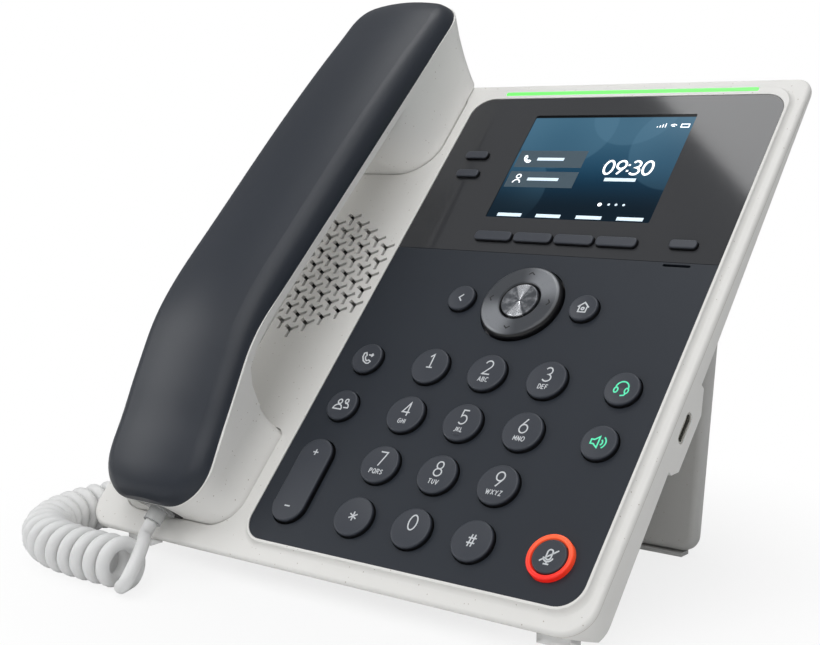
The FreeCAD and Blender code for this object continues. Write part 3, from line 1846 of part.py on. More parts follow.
doc.recompute()
for item in doc.Objects:
    if "Invalid" in item.State or "Error" in item.State:
        raise RuntimeError(f"{item.Label} did not build")
os.makedirs("parts", exist_ok=True)
for item in nodes:
    if item.Shape.isNull() or not item.Shape.isValid():
        raise RuntimeError(f"{item.Label} has no sound shape")
    item.Shape.exportStep(f"parts/{item.Label}.step")
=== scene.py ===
import logging
import math
from collections.abc import Iterable, Sequence
from dataclasses import dataclass
from enum import Enum
from typing import Any

import bpy
from mathutils import Matrix, Vector
from mathutils.bvhtree import BVHTree


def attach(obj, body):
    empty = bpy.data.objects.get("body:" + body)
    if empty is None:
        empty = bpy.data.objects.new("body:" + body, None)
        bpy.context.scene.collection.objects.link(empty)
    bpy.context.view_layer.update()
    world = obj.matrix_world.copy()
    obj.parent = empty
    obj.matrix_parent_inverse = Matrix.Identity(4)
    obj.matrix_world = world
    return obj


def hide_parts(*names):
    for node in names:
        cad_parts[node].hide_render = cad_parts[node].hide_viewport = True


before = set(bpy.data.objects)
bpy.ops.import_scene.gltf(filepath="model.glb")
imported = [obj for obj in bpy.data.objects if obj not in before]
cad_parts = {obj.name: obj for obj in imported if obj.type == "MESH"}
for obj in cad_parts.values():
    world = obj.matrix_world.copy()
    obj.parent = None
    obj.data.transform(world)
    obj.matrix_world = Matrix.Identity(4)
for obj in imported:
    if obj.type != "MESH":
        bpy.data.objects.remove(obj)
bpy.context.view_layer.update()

MM = 0.001
WHITE = (1.0, 1.0, 1.0, 1.0)
Point = tuple[float, float]
Triple = tuple[float, float, float]
Colour = Triple
Box = tuple[float, float, float, float]
Lines = list[list[Point]]
Groups = Sequence[tuple[Lines, float]]

log = logging.getLogger("desk_phone")


class Slot(Enum):
    """Names of the record's material slots; the key signs list one each, but no piece is given it here."""

    SHELL = "shell_white"
    KEY = "key_slate"
    NAV = "nav_satin"
    GREEN = "light_green"
    SCREEN = "screen_glass"
    CORD = "cord_grey"


class Output(Enum):
    """The output node of a graph."""

    MATERIAL = "ShaderNodeOutputMaterial"
    WORLD = "ShaderNodeOutputWorld"


@dataclass(frozen=True)
class FaceFrame:
    """The sloping front: x to the right, y up the slope, z out of the panels, in millimetres."""

    tilt: float = math.radians(46.7)
    lift: float = 8.0
    setback: float = 62.0

    def point(self, x: float, y: float, z: float) -> Vector:
        """Give the place in metres of a point of the face."""
        cos, sin = math.cos(self.tilt), math.sin(self.tilt)
        return Vector((x, y * cos - z * sin - self.setback, y * sin + z * cos + self.lift)) * MM

    def normal(self) -> Vector:
        """Give the direction out of the face."""
        return Vector((0.0, -math.sin(self.tilt), math.cos(self.tilt)))

    def height_offset(self) -> float:
        """Give what the normal's dot product with a point exceeds its height by, in metres."""
        return (self.setback * math.sin(self.tilt) + self.lift * math.cos(self.tilt)) * MM

    def uphill(self) -> Vector:
        """Give the direction up the slope."""
        return Vector((0.0, math.cos(self.tilt), math.sin(self.tilt)))


FACE = FaceFrame()


class Value:
    """A node's socket that takes part in Python arithmetic by adding Math nodes."""

    def __init__(self, graph: "Graph", socket: bpy.types.NodeSocket) -> None:
        """Hold an output socket of a graph."""
        self.graph = graph
        self.socket = socket

    def _math(self, operation: str, *terms: Any) -> "Value":
        """Add one Math node with its inputs in order, and give its result."""
        node = self.graph.add("ShaderNodeMath", dict(enumerate(terms)), {"operation": operation})
        return Value(self.graph, node.outputs[0])

    def __add__(self, other: Any) -> "Value":
        """Add."""
        return self._math("ADD", self, other)

    def __radd__(self, other: Any) -> "Value":
        """Add from the right."""
        return self._math("ADD", other, self)

    def __sub__(self, other: Any) -> "Value":
        """Subtract."""
        return self._math("SUBTRACT", self, other)

    def __rsub__(self, other: Any) -> "Value":
        """Subtract from a number."""
        return self._math("SUBTRACT", other, self)

    def __mul__(self, other: Any) -> "Value":
        """Multiply."""
        return self._math("MULTIPLY", self, other)

    def __rmul__(self, other: Any) -> "Value":
        """Multiply from the right."""
        return self._math("MULTIPLY", other, self)

    def __truediv__(self, other: Any) -> "Value":
        """Divide."""
        return self._math("DIVIDE", self, other)

    def __rtruediv__(self, other: Any) -> "Value":
        """Divide a number."""
        return self._math("DIVIDE", other, self)

    def __lt__(self, other: Any) -> "Value":
        """Give 1 where less, else 0."""
        return self._math("LESS_THAN", self, other)

    def __gt__(self, other: Any) -> "Value":
        """Give 1 where greater, else 0."""
        return self._math("GREATER_THAN", self, other)

    def wave(self) -> "Value":
        """Give a sine wave that runs from 0 to 1."""
        return self._math("SINE", self) * 0.5 + 0.5

    def root(self) -> "Value":
        """Give the square root."""
        return self._math("SQRT", self)

    def turn_from(self, across: "Value") -> "Value":
        """Give the angle of a direction whose upward part this is and whose other part is across."""
        return self._math("ARCTAN2", self, across)

    def around(self, middle: Any, spread: float) -> "Value":
        """Waver about a middle as this noise does about 0.5."""
        return middle + (self - 0.5) * spread

    def smooth(self, low: float, high: float) -> "Value":
        """Rise smoothly from 0 to 1.

        Args:
            low: where the rise starts.
            high: where it ends.

        Returns:
            The share of the rise.
        """
        node = self.graph.add(
            "ShaderNodeMapRange",
            {"Value": self, "From Min": low, "From Max": high},
            {"interpolation_type": "SMOOTHSTEP"},
        )
        return Value(self.graph, node.outputs["Result"])


class Graph:
    """The node graph of one material, or of the world."""

    def __init__(self, name: str, world: bpy.types.World | None = None) -> None:
        """Start an empty graph.

        Args:
            name: the material's name.
            world: the world whose graph it is, where it isn't a material's.
        """
        self.material = world or bpy.data.materials.new(name)
        self.material.use_nodes = True
        self.tree = self.material.node_tree
        self.tree.nodes.clear()

    def add(
        self, kind: str, inputs: dict[Any, Any] | None = None, settings: dict[str, Any] | None = None
    ) -> bpy.types.Node:
        """Add a node.

        Args:
            kind: the node's type.
            inputs: values or links of its sockets, by name or number.
            settings: its properties, set first.

        Returns:
            The new node.
        """
        node = self.tree.nodes.new(kind)
        for name, setting in (settings or {}).items():
            setattr(node, name, setting)
        for name, value in (inputs or {}).items():
            socket = node.inputs[name]
            if isinstance(value, Value):
                self.tree.links.new(value.socket, socket)
            else:
                socket.default_value = value
        return node

    def out(self, node: bpy.types.Node, name: Any = 0) -> Value:
        """Wrap a node's output."""
        return Value(self, node.outputs[name])

    def place(self) -> Value:
        """Give the place on the piece, in metres of the row frame."""
        return self.out(self.add("ShaderNodeTexCoord"), "Object")

    def noise(self, scale: float, detail: float = 2.0) -> Value:
        """Give a noise about 0.5, with a scale in cells per metre and a detail in octaves."""
        inputs = {"Vector": self.place(), "Scale": scale, "Detail": detail}
        return self.out(self.add("ShaderNodeTexNoise", inputs), "Fac")

    def along(self, direction: Sequence[float], where: Value | None = None) -> Value:
        """Give how far a coordinate, by default the place on the piece, lies along a unit vector."""
        terms = {0: where or self.place(), 1: tuple(direction)}
        return self.out(self.add("ShaderNodeVectorMath", terms, {"operation": "DOT_PRODUCT"}), "Value")

    def distance(self, centre: Sequence[float]) -> Value:
        """Give the distance from a point, in metres."""
        terms = {0: self.place(), 1: tuple(centre)}
        return self.out(self.add("ShaderNodeVectorMath", terms, {"operation": "DISTANCE"}), "Value")

    def face_height(self) -> Value:
        """Give the height above the panels, in metres."""
        return self.along(FACE.normal()) - FACE.height_offset()

    def face_offsets(self, centre: Triple) -> tuple[Value, Value]:
        """Give how far a place lies from a point of the face.

        Args:
            centre: the point of the face.

        Returns:
            The distances to the right and up the slope, in millimetres.
        """
        middle = FACE.point(*centre)
        across = (self.along((1.0, 0.0, 0.0)) - middle.x) / MM
        up = (self.along(FACE.uphill()) - middle.dot(FACE.uphill())) / MM
        return across, up

    def mix(self, share: Any, first: Any, second: Any) -> Value:
        """Mix two colours.

        Args:
            share: 0 for the first, 1 for the second.
            first: a colour or a link.
            second: a colour or a link.

        Returns:
            The mixed colour.
        """
        full = [value if isinstance(value, Value) else (*value, 1.0) for value in (first, second)]
        node = self.add("ShaderNodeMix", {0: share, 6: full[0], 7: full[1]}, {"data_type": "RGBA"})
        return self.out(node, 2)

    def bump(self, height: Value, depth: float, strength: float = 1.0) -> Value:
        """Turn a height from 0 to 1 into the normal of a relief of some depth in metres."""
        inputs = {"Height": height, "Distance": depth, "Strength": strength}
        return self.out(self.add("ShaderNodeBump", inputs), "Normal")

    def blend(self, share: Value, first: bpy.types.Node, second: bpy.types.Node, output: Output) -> None:
        """Close the graph with a mix of two shaders.

        Args:
            share: 0 for the first, 1 for the second.
            first: a shader node.
            second: a shader node.
            output: the graph's output node.
        """
        shaders = {0: share, 1: self.out(first), 2: self.out(second)}
        mixed = self.add("ShaderNodeMixShader", shaders)
        self.add(output.value, {"Surface": self.out(mixed)})

    def finish(
        self, colour: Any, roughness: Any, normal: Value | None = None, others: dict[str, Any] | None = None
    ) -> bpy.types.Material:
        """Close the graph with one plain surface shader.

        Args:
            colour: its base colour.
            roughness: its roughness.
            normal: its relief.
            others: values and links of more sockets, by name.

        Returns:
            The material.
        """
        inputs = {"Base Color": colour, "Roughness": roughness, **(others or {})}
        if normal is not None:
            inputs["Normal"] = normal
        shader = self.add("ShaderNodeBsdfPrincipled", inputs)
        self.add(Output.MATERIAL.value, {"Surface": self.out(shader)})
        return self.material


def scaled(colour: Colour, share: float) -> Colour:
    """Make a colour lighter or darker."""
    return tuple(share * part for part in colour)


@dataclass(frozen=True)
class Finish:
    """A finish, made into a material once."""

    name: str

    def material(self) -> bpy.types.Material:
        """Give the finish's material, making it the first time."""
        label = f"{self.name}_finish"
        return bpy.data.materials.get(label) or self.build(Graph(label))

    def build(self, graph: Graph) -> bpy.types.Material:
        """Build the material in a graph."""
        raise NotImplementedError


@dataclass(frozen=True)
class SpeckledShell(Finish):
    """Bone-white moulded plastic with fine specks, a matt grain and a painted shadow line where its halves
    meet.
    """

    base: Colour = (0.78, 0.77, 0.745)
    shade: Colour = (0.745, 0.735, 0.71)
    speck: Colour = (0.34, 0.29, 0.24)
    speck_density: float = 760.0
    speck_share: float = 0.50
    speck_radius: Point = (0.03, 0.12)
    speck_depth: Point = (0.25, 0.5)
    patches: float = 45.0
    roughness: float = 0.52
    spread: float = 0.12
    grain: float = 2600.0
    relief: float = 0.00003
    relief_strength: float = 0.35
    seam_height: float = -2.7
    seam_half: float = 0.12
    seam_shadow_share: float = 0.0

    def build(self, graph: Graph) -> bpy.types.Material:
        """Build the material in a graph.

        Args:
            graph: an empty graph.

        Returns:
            The material.
        """
        inputs = {"Vector": graph.place(), "Scale": self.speck_density}
        cells = graph.add("ShaderNodeTexVoronoi", inputs)
        draws = graph.add("ShaderNodeSeparateColor", {0: graph.out(cells, "Color")})
        pick, size = graph.out(draws, 0), graph.out(draws, 1)
        near = graph.out(cells, "Distance") < size * self.speck_radius[1] + self.speck_radius[0]
        mask = near * (pick < self.speck_share) * (self.speck_depth[0] + size * self.speck_depth[1])
        body = graph.mix(graph.noise(self.patches), self.base, self.shade)
        # painted shadow: the colour darkens towards the speck colour in a line at the halves' parting height
        away = graph.face_height() / MM - self.seam_height
        line = 1.0 - (away * away).smooth(0.0, self.seam_half * self.seam_half)
        body = graph.mix(line * self.seam_shadow_share, body, self.speck)
        grain = graph.noise(self.grain)
        relief = graph.bump(grain, self.relief, self.relief_strength)
        colour = graph.mix(mask, body, self.speck)
        return graph.finish(colour, grain.around(self.roughness, self.spread), relief)


@dataclass(frozen=True)
class Moulded(Finish):
    """Moulded plastic or rubber with a fine grain, lighter in soft patches."""

    base: Colour
    light: Colour
    roughness: float = 0.45
    grain: float = 2400.0
    relief: float = 0.00003
    relief_strength: float = 0.3
    specular: float = 0.5
    patches: float = 30.0
    patch_share: float = 0.6
    grain_share: float = 0.3
    spread: float = 0.15

    def build(self, graph: Graph) -> bpy.types.Material:
        """Build the material in a graph.

        Args:
            graph: an empty graph.

        Returns:
            The material.
        """
        grain = graph.noise(self.grain, detail=3.0)
        share = graph.noise(self.patches) * self.patch_share + grain * self.grain_share
        colour = graph.mix(share, self.base, self.light)
        relief = graph.bump(grain, self.relief, self.relief_strength)
        roughness = grain.around(self.roughness, self.spread)
        return graph.finish(colour, roughness, relief, {"Specular IOR Level": self.specular})


@dataclass(frozen=True)
class KeyCap(Finish):
    """Key plastic: slate on top; down the sides the colour runs to near black as painted shade."""

    top: Colour = (0.031, 0.036, 0.048)
    # the near-black side colour is painted shade, not the plastic's own colour
    side: Colour = (0.006, 0.006, 0.007)
    edge: float = 0.9
    edge_depth: float = 0.25
    roughness: float = 0.40
    spread: float = 0.12
    grain: float = 2600.0
    grain_share: float = 0.3
    relief: float = 0.00002
    relief_strength: float = 0.25

    def build(self, graph: Graph) -> bpy.types.Material:
        """Build the material in a graph.

        Args:
            graph: an empty graph.

        Returns:
            The material.
        """
        # painted shade: below the top edge the colour runs from the slate top to the near-black side
        top_above_painted_shade = graph.face_height().smooth((self.edge - self.edge_depth) * MM, self.edge * MM)
        grain = graph.noise(self.grain)
        colour = graph.mix(top_above_painted_shade * grain.around(1.0, self.grain_share), self.side, self.face(graph))
        relief = graph.bump(grain, self.relief, self.relief_strength)
        return graph.finish(colour, grain.around(self.roughness, self.spread), relief)

    def face(self, graph: Graph) -> Any:
        """Give the colour of the top."""
        return self.top


@dataclass(frozen=True)
class SatinCap(KeyCap):
    """Key with a turned satin top with a painted sheen on two opposite sides of its middle, and painted shade
    down its sides.
    """

    top: Colour = (0.046, 0.050, 0.058)
    # the ring's side below this height takes the painted shade
    edge: float = 2.0
    roughness: float = 0.30
    centre: Triple = (0.0, 0.0, 0.0)
    painted_sheen: Colour = (0.215, 0.224, 0.240)
    heading: float = math.radians(9.0)
    sheen_lobe: Point = (0.25, 1.0)

    def face(self, graph: Graph) -> Any:
        """Give the colour of the top.

        Args:
            graph: the material's graph.

        Returns:
            A colour with a painted sheen that changes round the middle.
        """
        across, up = graph.face_offsets(self.centre)
        # painted sheen: the top is lighter in two lobes on opposite sides of the middle
        sheen_lobes = (up.turn_from(across) * 2.0 - self.heading).wave()
        return graph.mix(sheen_lobes.smooth(*self.sheen_lobe), self.top, self.painted_sheen)


@dataclass(frozen=True)
class GlossWindow(Finish):
    """Tinted gloss window, slightly uneven."""

    base: Colour = (0.033, 0.034, 0.037)
    waves: float = 18.0
    wave_share: float = 1.2
    roughness: float = 0.07
    smears: float = 400.0
    spread: float = 0.03

    def build(self, graph: Graph) -> bpy.types.Material:
        """Build the material in a graph."""
        colour = graph.mix(graph.noise(self.waves, detail=1.0), self.base, scaled(self.base, self.wave_share))
        return graph.finish(colour, graph.noise(self.smears).around(self.roughness, self.spread))


@dataclass(frozen=True)
class Glow(Finish):
    """Lit diffuser whose colour runs across the slope."""

    low: Colour
    high: Colour
    from_y: float
    to_y: float
    strength: float
    roughness: float = 0.35
    clouds: float = 300.0
    cloud_share: float = 0.1

    def build(self, graph: Graph) -> bpy.types.Material:
        """Build the material in a graph.

        Args:
            graph: an empty graph.

        Returns:
            The material.
        """
        ends = [FACE.point(0.0, y, 0.0).dot(FACE.uphill()) for y in (self.from_y, self.to_y)]
        share = graph.noise(self.clouds).around(graph.along(FACE.uphill()).smooth(*ends), self.cloud_share)
        colour = graph.mix(share, self.low, self.high)
        light = {"Emission Color": colour, "Emission Strength": self.strength}
        return graph.finish(colour, self.roughness, others=light)


@dataclass(frozen=True)
class Spun(Finish):
    """Metal-plated cap with radial brushing, with a painted highlight in two bright wedges and in facet
    stripes about a point of the face.
    """

    centre: Triple
    dark: Colour = (0.075, 0.08, 0.09)
    painted_highlight: Colour = (0.72, 0.73, 0.76)
    heading: float = math.radians(104.0)
    highlight_wedge: Point = (0.72, 0.94)
    facets: float = 8.0
    brushing: float = 900.0
    shares: Triple = (0.6, 0.15, 0.6)
    contrast: Point = (0.28, 1.05)
    metallic: Point = (0.55, 0.3)
    roughness: Point = (0.34, 0.12)
    relief_shares: Point = (0.6, 0.4)
    relief: float = 0.0002
    relief_strength: float = 0.5

    def build(self, graph: Graph) -> bpy.types.Material:
        """Build the material in a graph.

        Args:
            graph: an empty graph.

        Returns:
            The material.
        """
        across, up = graph.face_offsets(self.centre)
        turn = up.turn_from(across)
        # painted highlight: the two wedges and the facet stripes lighten the colour; the facets and the
        # brushing noise also give the relief
        facets = (turn * self.facets).wave()
        highlight_wedge = (turn * 2.0 - self.heading).wave().smooth(*self.highlight_wedge)
        fine = graph.noise(self.brushing, detail=3.0)
        parts = [part * share for part, share in zip((highlight_wedge, facets, fine), self.shares)]
        share = (parts[0] + parts[1] + parts[2]).smooth(*self.contrast)
        height = facets * self.relief_shares[0] + fine * self.relief_shares[1]
        relief = graph.bump(height, self.relief, self.relief_strength)
        return graph.finish(
            graph.mix(share, self.dark, self.painted_highlight),
            self.roughness[0] - share * self.roughness[1],
            relief,
            {"Metallic": self.metallic[0] + share * self.metallic[1]},
        )


@dataclass(frozen=True)
class Metal(Finish):
    """Plated or cast metal with fine scratches."""

    base: Colour
    roughness: float = 0.35
    spread: float = 0.2
    scratches: float = 1500.0
    scratch_share: float = 0.8
    metallic: float = 0.9

    def build(self, graph: Graph) -> bpy.types.Material:
        """Build the material in a graph.

        Args:
            graph: an empty graph.

        Returns:
            The material.
        """
        scratch = graph.noise(self.scratches, detail=4.0)
        colour = graph.mix(scratch, self.base, scaled(self.base, self.scratch_share))
        roughness = scratch.around(self.roughness, self.spread)
        return graph.finish(colour, roughness, others={"Metallic": self.metallic})


@dataclass(frozen=True)
class Lcd(Finish):
    """Lit screen: a blue field, deep below, with large pale discs laid over each other."""

    centre: Triple
    deep: Colour = (0.0015, 0.010, 0.020)
    middle: Colour = (0.005, 0.048, 0.100)
    sky: Colour = (0.045, 0.130, 0.205)
    disc: Colour = (0.090, 0.205, 0.300)
    discs: tuple[Triple, ...] = (
        (-14.0, 16.0, 17.0),
        (8.0, 24.0, 15.0),
        (30.0, 10.0, 19.0),
        (-30.0, -12.0, 18.0),
    )
    low_rise: Point = (-18.0, 4.0)
    sky_rise: Point = (-8.0, 21.0)
    disc_fade: Point = (-26.0, 8.0)
    disc_edge: float = 0.4
    disc_share: Point = (0.10, 0.22)
    border: float = 21.0
    glass: Colour = (0.001, 0.0012, 0.0015)
    roughness: Point = (0.14, 0.02)
    smears: float = 200.0
    specular: float = 0.10

    def build(self, graph: Graph) -> bpy.types.Material:
        """Build the material in a graph.

        Args:
            graph: an empty graph.

        Returns:
            The material.
        """
        across, up = graph.face_offsets(self.centre)
        low = graph.mix(up.smooth(*self.low_rise), self.deep, self.middle)
        colour = graph.mix(up.smooth(*self.sky_rise), low, self.sky)
        for x, y, radius in self.discs:
            reach = ((across - x) * (across - x) + (up - y) * (up - y)).root()
            inside = 1.0 - reach.smooth(radius - self.disc_edge, radius + self.disc_edge)
            paler = self.disc_share[0] + reach.smooth(0.0, radius) * self.disc_share[1]
            colour = graph.mix(inside * up.smooth(*self.disc_fade) * paler, colour, self.disc)
        lit = 1.0 - up.smooth(self.border - self.disc_edge, self.border)
        others = {
            "Specular IOR Level": self.specular,
            "Emission Color": graph.mix(lit, (0.0, 0.0, 0.0), colour),
            "Emission Strength": 1.0,
        }
        roughness = self.roughness[0] + graph.noise(self.smears) * self.roughness[1]
        return graph.finish((*self.glass, 1.0), roughness, others=others)


@dataclass(frozen=True)
class Ink(Finish):
    """Printed or lit lettering."""

    colour: Colour
    strength: float = 0.0
    roughness: float = 0.5
    mottle: float = 3000.0
    mottle_share: float = 0.9

    def build(self, graph: Graph) -> bpy.types.Material:
        """Build the material in a graph.

        Args:
            graph: an empty graph.

        Returns:
            The material.
        """
        shade = graph.mix(graph.noise(self.mottle), self.colour, scaled(self.colour, self.mottle_share))
        light = {"Emission Color": shade, "Emission Strength": self.strength}
        return graph.finish(shade, self.roughness, others=light)


@dataclass(frozen=True)
class Clear(Finish):
    """Clear moulded plastic."""

    base: Colour = (0.82, 0.83, 0.83)
    clouds: float = 200.0
    cloud_share: float = 0.9
    roughness: float = 0.15
    clearness: float = 0.6
    bending: float = 1.5

    def build(self, graph: Graph) -> bpy.types.Material:
        """Build the material in a graph.

        Args:
            graph: an empty graph.

        Returns:
            The material.
        """
        colour = graph.mix(graph.noise(self.clouds), self.base, scaled(self.base, self.cloud_share))
        through = {"Transmission Weight": self.clearness, "IOR": self.bending}
        return graph.finish(colour, self.roughness, others=through)


SHELL = SpeckledShell("shell_white", seam_shadow_share=0.7)
HANDSET_SHELL = SpeckledShell("handset_white", (0.85, 0.84, 0.815), (0.81, 0.80, 0.775))
# the stand is the shell's white plastic, coloured darker as painted shade
SHADED_STAND_SHELL = SpeckledShell("stand_white_painted_shade", (0.54, 0.535, 0.52), (0.50, 0.495, 0.48), roughness=0.5)
PANEL = Moulded("panel_slate", (0.014, 0.018, 0.026), (0.019, 0.024, 0.033), 0.46, specular=0.32)
HANDSET = Moulded("handset_slate", (0.010, 0.014, 0.022), (0.015, 0.020, 0.031), 0.42, 3200.0, 0.00004, 0.4)
BLACK = Moulded("socket_black", (0.010, 0.010, 0.011), (0.018, 0.018, 0.019), 0.5)
RUBBER = Moulded("foot_rubber", (0.50, 0.50, 0.49), (0.58, 0.58, 0.57), 0.75, 1400.0, 0.00008)
MEMBRANE = Moulded("membrane_rubber", (0.42, 0.43, 0.44), (0.50, 0.51, 0.52), 0.7)
BOARD = Moulded("board_green", (0.012, 0.11, 0.045), (0.02, 0.16, 0.07), 0.35, 700.0)
CORD = Moulded("cord_grey", (0.74, 0.74, 0.735), (0.80, 0.80, 0.795), 0.42, 900.0)
KEY = KeyCap("key_slate")
WINDOW = GlossWindow("window_gloss")
STEEL = Metal("pin_steel", (0.50, 0.50, 0.52))
SOCKET_STEEL = Metal("socket_steel", (0.55, 0.54, 0.50), 0.28)
IRON = Metal("ballast_iron", (0.16, 0.16, 0.165), 0.6)
PLUG = Clear("plug_clear")
SILICONE = Clear("foot_silicone", (0.93, 0.93, 0.92))
LEGEND = Ink("legend_white", (0.56, 0.58, 0.60), 0.12)
LEGEND_GREEN = Ink("legend_green", (0.08, 0.62, 0.36), 0.55)
PIXEL = Ink("screen_pixels", (0.92, 0.95, 0.98), 0.9)
PIXEL_BAR = Ink("screen_bars", (0.016, 0.034, 0.048), 1.0)
NAV_SIGN = Ink("nav_sign", (0.004, 0.004, 0.005))
PIXEL_SOFT = Ink("screen_soft", (0.55, 0.66, 0.74), 0.7)
LIGHT_RED = Glow("light_red", (0.72, 0.014, 0.008), (0.90, 0.110, 0.035), 12.0, 26.0, 0.46)
LIGHT_GREEN = Glow("light_green", (0.10, 0.72, 0.09), (0.13, 0.80, 0.12), 181.0, 184.0, 0.8)


def dress(finish: Finish, *nodes: str) -> None:
    """Give solids of the frame a finish.

    Args:
        finish: the finish.
        nodes: names of the solids.
    """
    for node in nodes:
        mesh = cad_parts[node].data
        mesh.materials.clear()
        mesh.materials.append(finish.material())
        log.info("dressed %s in %s", node, finish.name)


def put(name: str, data: bpy.types.ID) -> bpy.types.Object:
    """Set an object into the scene.

    Args:
        name: its name.
        data: its mesh, curve, lamp or camera.

    Returns:
        The new object.
    """
    item = bpy.data.objects.new(name, data)
    bpy.context.scene.collection.objects.link(item)
    return item


def tube_faces(sections: int, sides: int) -> list[list[int]]:
    """Give the faces of a closed tube.

    Args:
        sections: number of rings of corners along it.
        sides: corners of each ring.

    Returns:
        Corner numbers of its sides and its two ends.
    """
    faces = [list(range(sides))[::-1]]
    for start in range(0, (sections - 1) * sides, sides):
        for side in range(sides):
            following = (side + 1) % sides
            faces.append([start + side, start + following, start + sides + following, start + sides + side])
    return faces + [list(range((sections - 1) * sides, sections * sides))]


def new_piece(
    name: str, points: Sequence[Vector], faces: Sequence[Sequence[int]], finish: Finish, body: str
) -> bpy.types.Object:
    """Make a mesh piece that rides on a body.

    Args:
        name: the piece's name.
        points: its corners in metres.
        faces: corner numbers of each face.
        finish: its finish.
        body: the body it moves with.

    Returns:
        The new object.
    """
    mesh = bpy.data.meshes.new(name)
    mesh.from_pydata([tuple(point) for point in points], [], [tuple(face) for face in faces])
    mesh.validate()
    mesh.update()
    mesh.materials.append(finish.material())
    piece = put(name, mesh)
    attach(piece, body)
    log.info("made %s on %s", name, body)
    return piece


def bow(cx: float, cy: float, rx: float, ry: float, start: float, end: float, steps: int = 14) -> list[Point]:
    """Give points along part of an ellipse about cx, cy, from one angle to another in degrees."""
    angles = [math.radians(start + (end - start) * step / steps) for step in range(steps + 1)]
    return [(cx + rx * math.cos(angle), cy + ry * math.sin(angle)) for angle in angles]


def ring(cx: float, cy: float, rx: float, ry: float, steps: int = 20) -> list[Point]:
    """Give a closed ellipse."""
    return bow(cx, cy, rx, ry, 90.0, 450.0, steps)


